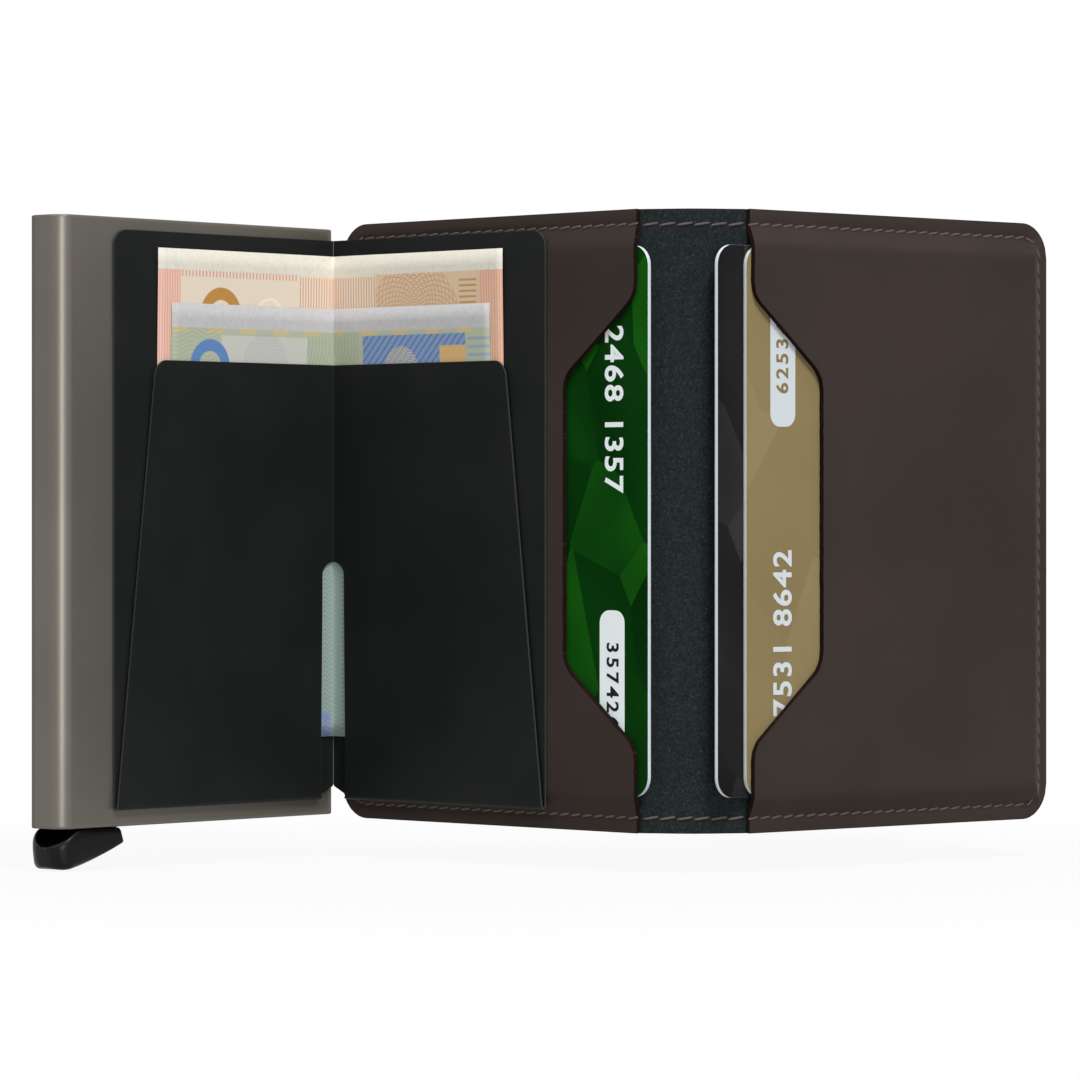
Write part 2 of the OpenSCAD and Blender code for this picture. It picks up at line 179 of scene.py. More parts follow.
def gridPiece(name, columns, put, finish, missing=None, sharp=38, joined=None):
    # columns of (u, depth, z) spots, one list for each step in u; a cell that is missing leaves a hole,
    # and the joined column meets another piece, so that it isn't marked as a cut edge
    rowCount = len(columns[0])
    cells = [(i, j) for i in range(len(columns) - 1) for j in range(rowCount - 1)
             if missing is None or not missing(i, j)]
    used, uses = {}, {}
    faces = []
    for i, j in cells:
        corners = [(i, j), (i + 1, j), (i + 1, j + 1), (i, j + 1)]
        faces.append([used.setdefault(corner, len(used)) for corner in corners])
        for a, b in zip(corners, corners[1:] + corners[:1]):
            side = frozenset((a, b))
            uses[side] = uses.get(side, 0) + 1
    spots = [columns[i][j] for i, j in used]
    rim = {used[corner] for side, count in uses.items() if count == 1 for corner in side}
    if joined is not None:
        rim -= {used[joined, j] for j in range(1, rowCount - 1)}
    return makePiece(name, [put(*spot) for spot in spots], faces, spots, finish, sharp, rim)


def ringPiece(name, rings, put, finish, closed=False, sharp=38):
    # rings of (u, depth, z) spots, joined one to the next; open ends are capped
    count = len(rings[0])
    spots = [spot for ring in rings for spot in ring]
    faces = []
    for k in range(len(rings) if closed else len(rings) - 1):
        low, high = k * count, (k + 1) % len(rings) * count
        for i in range(count):
            n = (i + 1) % count
            faces.append([low + i, low + n, high + n, high + i])
    if not closed:
        faces.append(list(range(count))[::-1])
        faces.append(list(range((len(rings) - 1) * count, len(rings) * count)))
    return facingOut(makePiece(name, [put(*spot) for spot in spots], faces, spots, finish, sharp))


def facingOut(piece):
    # turns the faces of a closed piece round where they would face into it
    mesh = piece.data
    mesh.calc_loop_triangles()
    start = mesh.vertices[0].co
    volume = 0
    for triangle in mesh.loop_triangles:
        a, b, c = [mesh.vertices[i].co - start for i in triangle.vertices]
        volume += a.dot(b.cross(c))
    if volume < 0:
        mesh.flip_normals()
    return piece


def addMark(piece, name, rule):
    # a number at every vertex, worked out from its place on the leaf
    mesh = piece.data
    places = mesh.attributes["leaf"].data
    mark = mesh.attributes.new(name, "FLOAT", "POINT")
    for i, place in enumerate(places):
        mark.data[i].value = rule(*place.vector)


def thicken(piece, thickness, offset=0.0, rounding=0.0, segments=2):
    modifier = piece.modifiers.new("thickness", "SOLIDIFY")
    modifier.thickness = thickness * mm
    modifier.offset = offset
    modifier.use_even_offset = True
    if rounding:
        soften(piece, rounding, segments, 60)
    return piece


def soften(piece, width, segments=2, angle=40):
    modifier = piece.modifiers.new("rounding", "BEVEL")
    modifier.width = width * mm
    modifier.segments = segments
    modifier.limit_method = "ANGLE"
    modifier.angle_limit = math.radians(angle)
    modifier.harden_normals = True
    return piece


def roundedRing(low, high, radius, inset, level, steps=7):
    # a rounded rectangle in u and depth (or u and z) as a ring of pairs, drawn inwards by the inset
    r = max(radius - inset, 0.05)
    ring = []
    corners = [(high[0], high[1]), (low[0], high[1]), (low[0], low[1]), (high[0], low[1])]
    for quarter, (x, y) in enumerate(corners):
        cx = x + (-1 if x == high[0] else 1) * (inset + r)
        cy = y + (-1 if y == high[1] else 1) * (inset + r)
        for i in range(steps + 1):
            angle = math.pi / 2 * (quarter + i / steps)
            ring.append((cx + r * math.cos(angle), cy + r * math.sin(angle), level))
    return ring


# shader wiring
def srgb(*values):
    return tuple((v / 255 / 12.92) if v <= 10 else ((v / 255 + 0.055) / 1.055) ** 2.4 for v in values) + (1,)


class Wire:
    # a socket in a material; arithmetic on it adds the Math nodes
    def __init__(self, socket):
        self.socket = socket

    def math(self, operation, *values):
        sockets = {i: value for i, value in enumerate((self,) + values)}
        return addNode(self.socket.id_data, "ShaderNodeMath", {"operation": operation}, sockets)

    def flipped(self, operation, value):
        return addNode(self.socket.id_data, "ShaderNodeMath", {"operation": operation}, {0: value, 1: self})

    def __add__(self, other):
        return self.math("ADD", other)

    def __radd__(self, other):
        return self.flipped("ADD", other)

    def __sub__(self, other):
        return self.math("SUBTRACT", other)

    def __rsub__(self, other):
        return self.flipped("SUBTRACT", other)

    def __mul__(self, other):
        return self.math("MULTIPLY", other)

    def __rmul__(self, other):
        return self.flipped("MULTIPLY", other)

    def __abs__(self):
        return self.math("ABSOLUTE")

    def sine(self):
        return self.math("SINE")

    def ramp(self, low, high):
        # 0 below low, 1 above high, smooth in between
        return addNode(self.socket.id_data, "ShaderNodeMapRange", {"interpolation_type": "SMOOTHSTEP"},
                       {"Value": self, "From Min": low, "From Max": high})

    def inside(self, low, high, soft=0.06):
        return self.ramp(low - soft, low + soft) * (1 - self.ramp(high - soft, high + soft))


def addNode(tree, kind, settings=None, sockets=None, output=0):
    node = tree.nodes.new(kind)
    for name, value in (settings or {}).items():
        setattr(node, name, value)
    for name, value in (sockets or {}).items():
        if isinstance(value, Wire):
            tree.links.new(value.socket, node.inputs[name])
        else:
            node.inputs[name].default_value = value
    return Wire(node.outputs[output])


class Finish:
    # a material; what is even over the surface is set on its shader, the rest is wired to it
    def __init__(self, name, even):
        self.material = bpy.data.materials.new(name)
        self.material.use_nodes = True
        self.tree = self.material.node_tree
        self.shader = self.tree.nodes["Principled BSDF"]
        for socket, value in even.items():
            self.shader.inputs[socket].default_value = value

    def node(self, kind, settings=None, sockets=None, output=0):
        return addNode(self.tree, kind, settings, sockets, output)

    def leafCoords(self):
        return self.node("ShaderNodeAttribute", {"attribute_name": "leaf"}, output="Vector")

    def mark(self, name):
        return self.node("ShaderNodeAttribute", {"attribute_name": name}, output="Fac")

    def cadCoords(self, leaf):
        # the leaf's own millimetres for a piece that keeps its CAD mesh
        place = self.node("ShaderNodeTexCoord", output="Object")
        offset = self.vector("SUBTRACT", place, tuple(leaf.pivot))
        axes = (leaf.along, leaf.back, Vector((0, 0, 1)))
        parts = [self.vector("DOT_PRODUCT", offset, tuple(axis / mm), output="Value") for axis in axes]
        return self.node("ShaderNodeCombineXYZ", sockets={"X": parts[0], "Y": parts[1], "Z": parts[2]})

    def vector(self, operation, a, b, output=0):
        return self.node("ShaderNodeVectorMath", {"operation": operation}, {0: a, 1: b}, output)

    def split(self, coords):
        return [self.node("ShaderNodeSeparateXYZ", sockets={0: coords}, output=axis) for axis in "XYZ"]

    def noise(self, coords, scale, detail=2.0, roughness=0.5):
        return self.node("ShaderNodeTexNoise", sockets={
            "Vector": coords, "Scale": scale, "Detail": detail, "Roughness": roughness})

    def cells(self, coords, scale, output="Distance", feature="F1"):
        sockets = {"Vector": coords, "Scale": scale}
        return self.node("ShaderNodeTexVoronoi", {"feature": feature}, sockets, output)

    def mix(self, amount, a, b):
        return self.node("ShaderNodeMix", {"data_type": "RGBA"}, {0: amount, 6: a, 7: b}, 2)

    def bump(self, height, distance, strength=1.0):
        # height from 0 to 1 stands for that distance in millimetres
        return self.node("ShaderNodeBump", sockets={
            "Height": height, "Distance": distance * mm, "Strength": strength})

    def feed(self, sockets):
        for name, wire in sockets.items():
            self.tree.links.new(wire.socket, self.shader.inputs[name])
        return self.material


# finishes
# the raw edge colour also serves as painted shade along the seam's groove
leatherLook = {"light": srgb(59, 50, 46), "dark": srgb(53, 45, 41), "rawEdgeAndGrooveShade": srgb(27, 14, 12),
               "fleck": srgb(66, 44, 38), "grain": 1.9, "grainDepth": 0.012, "pore": 0.9}


def leatherFinish():
    finish = Finish("leather", {"Specular IOR Level": 0.07})
    coords = finish.leafCoords()
    cloud = finish.noise(coords, 0.03, 2.0)
    grain = finish.noise(coords, leatherLook["grain"], 4.0, 0.6)
    pore = finish.cells(coords, leatherLook["pore"], feature="SMOOTH_F1")
    fibre = finish.noise(coords, 4.5, 3.0, 0.7)
    rim = (finish.mark("edge") + (fibre - 0.5) * 0.3).ramp(0.62, 0.86)
    tone = finish.mix(cloud.ramp(0.35, 0.65), leatherLook["dark"], leatherLook["light"])
    tone = finish.mix(grain.ramp(0.35, 0.75) * 0.15, tone, leatherLook["dark"])
    # painted shade: the leather darkens along the seam's groove as if the thread shaded it
    tone = finish.mix(finish.mark("groove") * 0.6, tone, leatherLook["rawEdgeAndGrooveShade"])
    cut = finish.mix(fibre.ramp(0.56, 0.7) * 0.6, leatherLook["rawEdgeAndGrooveShade"], leatherLook["fleck"])
    height = grain * 0.7 + pore * 0.3 + fibre * rim
    return finish.feed({
        "Base Color": finish.mix(rim, tone, cut),
        "Roughness": 0.52 + grain * 0.14 + rim * 0.3,
        "Normal": finish.bump(height, leatherLook["grainDepth"], 0.7)})


suedeLook = {"deep": srgb(22, 28, 29), "middle": srgb(35, 42, 43), "fleck": srgb(60, 70, 69),
             "nap": 2.2, "napDepth": 0.06}


def suedeFinish():
    finish = Finish("suede", {"Specular IOR Level": 0.04, "Sheen Weight": 0.05, "Sheen Roughness": 0.6})
    coords = finish.leafCoords()
    nap = finish.noise(coords, suedeLook["nap"], 5.0, 0.72)
    fibre = finish.noise(finish.vector("MULTIPLY", coords, (3.6, 3.6, 3.0)), 1.0, 3.0, 0.65)
    patch = finish.noise(coords, 0.35, 3.0, 0.6)
    tone = finish.mix(nap.ramp(0.36, 0.62), suedeLook["deep"], suedeLook["middle"])
    tone = finish.mix(fibre.ramp(0.54, 0.72) * 0.8, tone, suedeLook["fleck"])
    tone = finish.mix(patch.ramp(0.5, 0.72) * 0.35, tone, suedeLook["middle"])
    return finish.feed({
        "Base Color": tone,
        "Roughness": 0.88 + nap * 0.1,
        "Normal": finish.bump(nap * 0.6 + fibre * 0.4, suedeLook["napDepth"], 0.8)})


threadLook = {"light": srgb(104, 92, 88), "dark": srgb(90, 78, 74), "twist": 15.0}


def threadFinish():
    finish = Finish("thread", {"Specular IOR Level": 0.15})
    coords = finish.leafCoords()
    x, y, z = finish.split(coords)
    ply = ((x * 0.8 + y + z) * threadLook["twist"]).sine().ramp(-0.7, 0.8)
    fuzz = finish.noise(coords, 9.0, 2.0)
    tone = finish.mix(ply, threadLook["dark"], threadLook["light"])
    return finish.feed({
        "Base Color": finish.mix(fuzz * 0.3, tone, threadLook["dark"]),
        "Roughness": 0.62 + fuzz * 0.2,
        "Normal": finish.bump(ply, 0.015)})


metalLook = {"tone": srgb(106, 102, 95), "worn": srgb(113, 109, 102), "roughness": 0.34, "edgeTint": 0.2}


def metalFinish():
    edge = metalLook["edgeTint"]
    finish = Finish("anodisedAluminium", {
        "Metallic": 0.6, "Specular IOR Level": 0.3, "Specular Tint": (edge, edge, edge, 1)})
    coords = finish.leafCoords()
    blast = finish.noise(coords, 11.0, 2.0, 0.6)
    drawn = finish.noise(finish.vector("MULTIPLY", coords, (7.0, 7.0, 0.05)), 1.0, 3.0, 0.6)
    cloud = finish.noise(coords, 0.06, 2.0)
    wear = cloud.ramp(0.3, 0.7) * 0.5 + drawn * 0.3
    return finish.feed({
        "Base Color": finish.mix(wear, metalLook["tone"], metalLook["worn"]),
        "Roughness": metalLook["roughness"] + drawn * 0.06 + blast * 0.05,
        "Normal": finish.bump(blast * 0.6 + drawn * 0.4, 0.004, 0.6)})


# the edge tone is a painted highlight on the cut edges; the crease tone is stress-whitening with a painted
# highlight of the fold
plasticLook = {"tone": srgb(27, 29, 29), "sheen": srgb(31, 32, 32), "creaseWhiteningAndHighlight": srgb(110, 114, 112),
               "edge": srgb(66, 69, 66), "creaseHalf": 0.3}


def pocketFinish():
    # satin sheet, whitened along the crease (stress-whitening with a painted highlight of the fold) and lighter
    # along its cut edges, a painted highlight there
    finish = Finish("pocketPlastic", {"Specular IOR Level": 0.07})
    coords = finish.leafCoords()
    u, depth, z = finish.split(coords)
    haze = finish.noise(coords, 0.05, 2.0)
    dust = finish.noise(coords, 14.0, 2.0, 0.6)
    # the crease is whitened: stress-whitening together with a painted highlight along the fold
    creaseWhiteningAndHighlight = 1 - abs(u).ramp(plasticLook["creaseHalf"] * 0.5, plasticLook["creaseHalf"])
    creaseWhiteningAndHighlight = creaseWhiteningAndHighlight * (1 - depth.ramp(0.5, 0.7))
    # painted highlight: the sheet's cut edges are lighter as if they caught the light
    rim = finish.mark("edge").ramp(0.6, 1.0)
    tone = finish.mix(haze.ramp(0.35, 0.65), plasticLook["tone"], plasticLook["sheen"])
    tone = finish.mix(rim * 0.8, tone, plasticLook["edge"])
    tone = finish.mix(creaseWhiteningAndHighlight * 0.85, tone, plasticLook["creaseWhiteningAndHighlight"])
    return finish.feed({
        "Base Color": tone,
        "Roughness": 0.42 + dust * 0.1 + (1 - abs(u).ramp(0.6, 2.2)) * 0.45,
        "Normal": finish.bump(dust, 0.003, 0.5)})


def plasticFinish(name, tone, roughness, coords, specular=0.09):
    # moulded black plastic with a fine spark-eroded texture
    finish = Finish(name, {"Specular IOR Level": specular})
    place = coords(finish)
    texture = finish.noise(place, 7.0, 3.0, 0.65)
    cloud = finish.noise(place, 0.2, 2.0)
    lighter = tuple(min(1, v * 1.25) for v in tone[:3]) + (1,)
    return finish.feed({
        "Base Color": finish.mix(cloud.ramp(0.3, 0.7) * 0.7, tone, lighter),
        "Roughness": roughness + texture * 0.1,
        "Normal": finish.bump(texture, 0.008, 0.6)})


def steelFinish():
    finish = Finish("pinSteel", {"Metallic": 1.0})
    coords = finish.cadCoords(holder)
    turned = finish.noise(finish.vector("MULTIPLY", coords, (1.0, 9.0, 1.0)), 2.0, 3.0, 0.6)
    return finish.feed({
        "Base Color": finish.mix(turned, srgb(176, 178, 180), srgb(202, 203, 204)),
        "Roughness": 0.22 + turned * 0.12,
        "Normal": finish.bump(turned, 0.004, 0.6)})


def feltFinish():
    finish = Finish("padFelt", {"Specular IOR Level": 0.1, "Sheen Weight": 0.2})
    coords = finish.cadCoords(holder)
    fibre = finish.noise(coords, 3.0, 5.0, 0.75)
    return finish.feed({
        "Base Color": finish.mix(fibre.ramp(0.3, 0.7), srgb(44, 46, 48), srgb(74, 76, 78)),
        "Roughness": 0.9 + fibre * 0.08,
        "Normal": finish.bump(fibre, 0.08, 0.7)})


def filmFinish(name, leaf):
    finish = Finish(name, {"Specular IOR Level": 0.4})
    coords = finish.cadCoords(leaf)
    ripple = finish.noise(coords, 0.8, 3.0, 0.6)
    return finish.feed({
        "Base Color": finish.mix(ripple.ramp(0.3, 0.7), srgb(146, 146, 142), srgb(166, 165, 160)),
        "Roughness": 0.35 + ripple * 0.15,
        "Normal": finish.bump(ripple, 0.01, 0.6)})


coreWhite = srgb(219, 227, 232)


def cardFinish(name, tones, coords, facesAt, facet=0.085):
    # a printed card: facets of a few tones on both faces, the white core along the edges
    finish = Finish(name, {"Specular IOR Level": 0.02})
    place = coords(finish)
    u, depth, z = finish.split(place)
    flat = finish.node("ShaderNodeCombineXYZ", sockets={"X": u * 1.3 + z * 0.35, "Y": z * 0.8 - u * 0.2})
    facets = finish.split(finish.cells(flat, facet, "Color"))[0]
    drift = finish.noise(flat, 0.05, 1.0).ramp(0.3, 0.7)
    shade = facets * 0.7 + drift * 0.3
    fine = finish.noise(place, 12.0, 2.0)
    dark, middle, light = tones
    tone = finish.mix((shade * 2.0).math("MINIMUM", 1.0), dark, middle)
    tone = finish.mix((shade * 2.0 - 1).math("MAXIMUM", 0.0), tone, light)
    low, high = facesAt
    printed = 1 - depth.inside(low + 0.05, high - 0.05, 0.02)
    core = finish.mix(fine * 0.2, coreWhite, srgb(192, 198, 202))
    return finish.feed({
        "Base Color": finish.mix(printed, core, tone),
        "Roughness": 0.4 + fine * 0.08 + (1 - printed) * 0.2,
        "Normal": finish.bump(fine, 0.003, 0.4)})


def inkFinish(name, tone):
    finish = Finish(name, {"Specular IOR Level": 0.1})
    coords = finish.leafCoords()
    fine = finish.noise(coords, 10.0, 2.0)
    pale = tuple(v * 0.93 for v in tone[:3]) + (1,)
    return finish.feed({
        "Base Color": finish.mix(fine, tone, pale),
        "Roughness": 0.36 + fine * 0.1})


class Print:
    # inks laid one over the other on a banknote; down is the distance below its upper edge
    def __init__(self, name, paper, top):
        self.finish = Finish(name, {"Specular IOR Level": 0.15})
        self.coords = self.finish.leafCoords()
        self.u, _, z = self.finish.split(self.coords)
        self.down = top - z
        fibres = self.finish.noise(self.coords, 1.6, 4.0, 0.65)
        darker = tuple(v * 0.9 for v in paper[:3]) + (1,)
        self.tone = self.finish.mix(fibres.ramp(0.35, 0.75), paper, darker)
        self.fibres = fibres

    def ink(self, mask, tone):
        self.tone = self.finish.mix(mask, self.tone, tone)

    def area(self, left, right, top, bottom, soft=0.12):
        return self.u.inside(left, right, soft) * self.down.inside(top, bottom, soft)

    def lines(self, along, pitch, share=0.4):
        return (along * (2 * math.pi / pitch)).sine().ramp(1 - 2 * share, 1.3 - 2 * share)

    def field(self, box, amount, tone):
        self.ink(self.area(*box) * amount, tone)

    def stripes(self, box, along, pitch, amount, tone, share=0.4):
        self.ink(self.area(*box) * self.lines(along, pitch, share) * amount, tone)

    def disc(self, u, down):
        # distance and angle from a point
        x, y = self.u - u, self.down - down
        return (x * x + y * y).math("SQRT"), y.math("ARCTAN2", x)

    def rosette(self, u, down, radius, petals, pitch):
        r, angle = self.disc(u, down)
        wave = r * (2 * math.pi / pitch) + (angle * petals).sine() * 2.6
        other = r * (2 * math.pi / pitch) - (angle * petals).sine() * 2.6
        line = 1 - abs(wave.sine()).ramp(0.15, 0.5)
        second = 1 - abs(other.sine()).ramp(0.15, 0.5)
        return line.math("MAXIMUM", second) * (1 - r.ramp(radius - 0.3, radius))

    def done(self):
        return self.finish.feed({
            "Base Color": self.tone,
            "Roughness": 0.78 + self.fibres * 0.1,
            "Normal": self.finish.bump(self.fibres, 0.02, 0.6)})


def largeNoteFinish(top):
    note = Print("largeNotePaper", srgb(229, 224, 210), top)
    u, down = note.u, note.down
    below = down.ramp(3.3, 3.5)
    note.ink(below * 0.75, srgb(233, 217, 195))
    note.field((-41, -35.5, 3.3, 80), 0.8, srgb(238, 190, 174))
    note.stripes((-41, -35.5, 3.3, 80), u, 0.55, 0.5, srgb(214, 128, 108))
    note.stripes((-35.5, -9, 3.3, 4.3), u, 0.75, 0.8, srgb(216, 140, 118))
    note.stripes((-9, 11, 3.6, 30), u, 0.62, 0.75, srgb(206, 134, 108), 0.36)
    note.field((11, 41, 3.3, 30), 0.65, srgb(216, 184, 144))
    note.ink(note.area(11, 30, 3.3, 30) * note.rosette(20, 12, 11, 9, 1.9) * 0.6, srgb(196, 132, 92))
    note.stripes((30.5, 34.5, 4.5, 30), down, 0.9, 0.8, srgb(190, 140, 78))
    note.field((35, 41, 3.3, 80), 0.45, srgb(238, 178, 160))
    note.stripes((35, 41, 3.3, 80), u, 0.6, 0.45, srgb(208, 120, 100))
    ring, _ = note.disc(-26.5, 10.5)
    note.ink(ring.inside(2.6, 4.6, 0.08), srgb(192, 140, 72))
    block, _ = note.disc(-15.5, 10.5)
    note.ink((1 - block.ramp(3.2, 3.35)) * 0.7, srgb(250, 240, 214))
    note.ink(note.rosette(-15.5, 10.5, 3.0, 6, 0.9) * 0.5, srgb(210, 150, 110))
    return note.done()


def smallNoteFinish(top):
    note = Print("smallNotePaper", srgb(197, 196, 197), top)
    u, down = note.u, note.down
    below = down.ramp(3.75, 3.95)
    note.ink(below, srgb(180, 187, 164))
    note.field((-26.5, -7, 4.9, 30), 0.9, srgb(203, 202, 196))
    note.stripes((-38, 38, 3.8, 4.6), u, 7.5, 0.7, srgb(214, 190, 126), 0.5)
    sway = (u * 0.9).sine() * 0.5
    note.ink(below * note.area(-38, -27, 3.8, 80) * note.lines(down + sway, 0.7) * 0.35, srgb(148, 164, 136))
    waves = note.lines(u + (down * 0.8).sine() * 0.4, 0.8)
    note.ink(note.area(-7, 7, 4.0, 22) * waves * 0.45, srgb(150, 160, 138))
    ring, _ = note.disc(-29, 10)
    note.ink(ring.inside(2.5, 4.4, 0.08), srgb(98, 136, 190))
    note.ink(note.rosette(-16.5, 9.5, 5.2, 7, 1.3) * 0.4, srgb(150, 158, 176))
    note.field((8, 32, 4.6, 30), 0.75, srgb(112, 146, 202))
    note.stripes((8, 32, 4.6, 30), u + down, 1.5, 0.6, srgb(64, 98, 168), 0.3)
    note.ink(note.area(12, 22, 6.2, 14) * note.rosette(17, 10.5, 4.2, 8, 1.2), srgb(226, 206, 150))
    note.field((26, 32, 6.5, 9.5), 0.9, srgb(222, 182, 110))
    note.stripes((32.5, 38, 4.6, 80), down, 1.3, 0.5, srgb(120, 150, 200))
    # what the slot in the flap shows: a blue-green field with specks and wavy lines
    window = down.ramp(24, 27) * note.area(-12, 12, 24, 80, 0.8)
    note.ink(window, srgb(144, 161, 153))
    speck = note.finish.noise(note.coords, 1.1, 4.0, 0.7)
    note.ink(window * speck.ramp(0.5, 0.62) * 0.5, srgb(128, 160, 176))
    wavy = note.lines(down + (u * 1.7).sine() * 0.7, 0.75)
    note.ink(window * wavy * 0.3, srgb(190, 204, 190))
    note.ink(note.area(-6, -1.3, 66, 72, 0.6) * speck.ramp(0.42, 0.5) * 0.8, srgb(128, 138, 205))
    return note.done()


leather = leatherFinish()
suede = suedeFinish()
thread = threadFinish()
metal = metalFinish()
pocketPlastic = pocketFinish()
print("finishes made")


# card holder: the drawn aluminium tube
tubeShape = {"radius": 2.7, "insideRadius": 1.2, "wall": 0.8, "chamfer": 0.22}
tubeLow, tubeHigh = holder.extent("holder_tube")


def makeTube():
    chamfer = tubeShape["chamfer"]
    wall = tubeShape["wall"]
    low, high = tubeLow.z, tubeHigh.z
    # the rings beside the chamfers keep the long faces' shading straight
    slight = chamfer * 0.3
    steps = [(chamfer, low), (slight, low + slight), (0, low + chamfer), (0, low + chamfer + 0.3),
             (0, high - chamfer - 0.3), (0, high - chamfer), (slight, high - slight), (chamfer, high),
             (wall - chamfer, high), (wall, high - chamfer), (wall, low + chamfer), (wall - chamfer, low)]
    radii = [tubeShape["radius"]] * 8 + [tubeShape["insideRadius"] + wall] * 4
    rings = [roundedRing(tubeLow, tubeHigh, radius, inset, z, 18)
             for radius, (inset, z) in zip(radii, steps)]
    tube = ringPiece("cardHolderTube", rings, holder.at, metal, closed=True, sharp=50)
    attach(tube, "card_holder")
    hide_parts("holder_tube")


makeTube()


# eject lever: the nose below the tube, its neck and the four lifting arms inside
leverShape = {"length": 14.1, "drop": 6.72, "slope": 0.39, "flat": 3.3, "blend": 1.9, "rightLean": 0.8,
              "leftLean": 0.5, "leanBelow": 3.3, "rimFront": 2.0, "rimBack": 1.6, "endRim": 0.45,
              "dish": 1.9, "leftRound": 3.0, "rightRound": 0.4, "gap": 0.14, "edge": 0.6,
              "corners": (1.1, 0.35),
              "neck": (-4.3, -1.9), "neckIn": 1.75, "neckFoot": 0.5, "neckEdge": 0.2,
              "hub": 2.4, "armTip": 1.7, "armTop": 6.38, "armEdge": 0.12}
leverLook = {"tone": srgb(3, 4, 4), "roughness": 0.28, "specular": 0.17}
tubeDepth = tubeHigh.y - tubeLow.y
pivot = holder.within(joints["lever_turn"]["pos_m"])


def noseBottom(s):
    ramp = leverShape["blend"] * math.log1p(math.exp((s - leverShape["flat"]) / leverShape["blend"]))
    return -leverShape["drop"] + leverShape["slope"] * ramp


def noseTop(s, across):
    # the rim falls away towards the tube's side, round a hollow for the fingertip
    front = leverShape["rimFront"] * (1 - smooth(0, 5.0, s))
    back = leverShape["rimBack"] * (1 - smooth(0, 3.0, s))
    dish = leverShape["dish"] * smooth(0.2, 1.6, s) * (1 - smooth(2.4, 5.2, s))
    hollow = leverShape["endRim"] * (1 - smooth(0, 1.2, s)) + dish
    return -leverShape["gap"] - between(front, back, across) - hollow * math.sin(math.pi * across) ** 1.1


def noseRing(s):
    # one section across the nose, drawn in near its two ends so that they are rounded
    toEnd = leverShape["length"] - s
    inset = max(cornerDrop(s, leverShape["leftRound"]), cornerDrop(toEnd, leverShape["rightRound"]))
    corner = between(*leverShape["corners"], smooth(4, 12, s))
    low = noseBottom(s) + inset * 0.28
    front, back = inset + 0.02, tubeDepth - inset - 0.02
    middle = noseTop(s, 0.5)
    edge = min(leverShape["edge"], (back - front) * 0.2)
    ring = []

    def crown(across):
        return noseTop(s, across) - inset * 0.3

    def spot(y, z):
        height = (z - low) / max(middle - low, 0.5)
        fromRight = leverShape["rightLean"] * smooth(11, leverShape["length"], s) * height
        below = leverShape["leanBelow"]
        fromLeft = leverShape["leftLean"] * (1 - smooth(0, 4, s)) * max(0, -below - z) / below
        ring.append((tubeLow.x + s - fromRight + fromLeft, y, tubeLow.z + z))

    for i in range(6):
        angle = math.pi / 2 * i / 5
        spot(front + corner * (1 - math.sin(angle)), low + corner * (1 - math.cos(angle)))
    for i in range(1, 5):
        spot(front, between(low + corner, crown(0) - edge, i / 4))
    for angle in (0.4, 0.8, 1.2):
        spot(front + edge * (1 - math.cos(angle)), crown(0) - edge * (1 - math.sin(angle)))
    for across in (0, 0.06, 0.14, 0.23, 0.32, 0.41, 0.5, 0.59, 0.68, 0.77, 0.86, 0.94, 1):
        spot(between(front + edge, back - edge, across), crown(across))
    for angle in (1.2, 0.8, 0.4):
        spot(back - edge * (1 - math.cos(angle)), crown(1) - edge * (1 - math.sin(angle)))
    for i in range(4, 0, -1):
        spot(back, between(low + corner, crown(1) - edge, i / 4))
    for i in range(6):
        angle = math.pi / 2 * i / 5
        spot(back - corner * (1 - math.cos(angle)), low + corner * (1 - math.sin(angle)))
    for i in range(1, 6):
        spot(between(back - corner, front + corner, i / 6), low)
    return ring


def platePiece(name, outline, front, back, finish):
    # an outline of (u, z) pairs from the pivot, filled between two depths
    rings = [[(pivot.x + x, depth, pivot.z + z) for x, z in outline] for depth in (front, back)]
    return ringPiece(name, rings, holder.at, finish, sharp=30)


def armOutline(reach, swing):
    # the arm's upper end is an involute, so that it rolls under its card as the lever turns
    top = leverShape["armTop"]

    def rolled(angle):
        x, z = reach, top + reach * angle
        return (x * math.cos(angle) + z * math.sin(angle), z * math.cos(angle) - x * math.sin(angle))

    tip = rolled(swing)
    return [(0, leverShape["hub"] - 0.1)] + [rolled(swing * i / 10) for i in range(11)] + [
        (tip[0] - 0.6, tip[1] - leverShape["armTip"]), (reach, top - 3.4), (0.3 * reach, 0.4), (1, -1.9)]


def makeLever():
    black = plasticFinish("leverPlastic", leverLook["tone"], leverLook["roughness"],
                          Finish.leafCoords, leverLook["specular"])
    stations = merged([0.02, 0.08, 0.2, 0.4, 0.7, 1.0, 1.4] + evenly(1.8, 13.2, 0.4)
                      + [13.5, 13.7, 13.82, 13.94, 14.02, 14.08], 0.05)
    nose = ringPiece("leverNose", [noseRing(s) for s in stations], holder.at, black, sharp=60)
    hub = leverShape["hub"]
    neckLeft, neckRight = leverShape["neck"]
    foot = tubeLow.z - pivot.z - leverShape["neckFoot"]
    neckIn = leverShape["neckIn"]
    neck = platePiece("leverNeck", [(neckLeft, foot), (neckRight, foot)] + [
        (hub * math.cos(math.radians(a)), hub * math.sin(math.radians(a))) for a in range(-60, 150, 15)],
        neckIn, tubeDepth - neckIn, black)
    soften(neck, leverShape["neckEdge"])
    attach(nose, "lever")
    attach(neck, "lever")
    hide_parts("eject_lever")
    swing = math.radians(joints["lever_turn"]["range_deg"][1])
    for number in range(1, 5):
        low, high = holder.extent(f"holder_card_{number}")
        reach = couplings[f"holder_card_{number}_lift"] / mm
        arm = platePiece(f"leverArm{number}", armOutline(reach, swing), low.y, high.y, black)
        soften(arm, leverShape["armEdge"])
        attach(arm, "lever")


makeLever()


# what keeps its CAD mesh: the inside of the tube and the adhesive films
def dress(node, finish):
    frame["nodes"][node].data.materials.clear()
    frame["nodes"][node].data.materials.append(finish)


def inHolder(finish):
    return finish.cadCoords(holder)


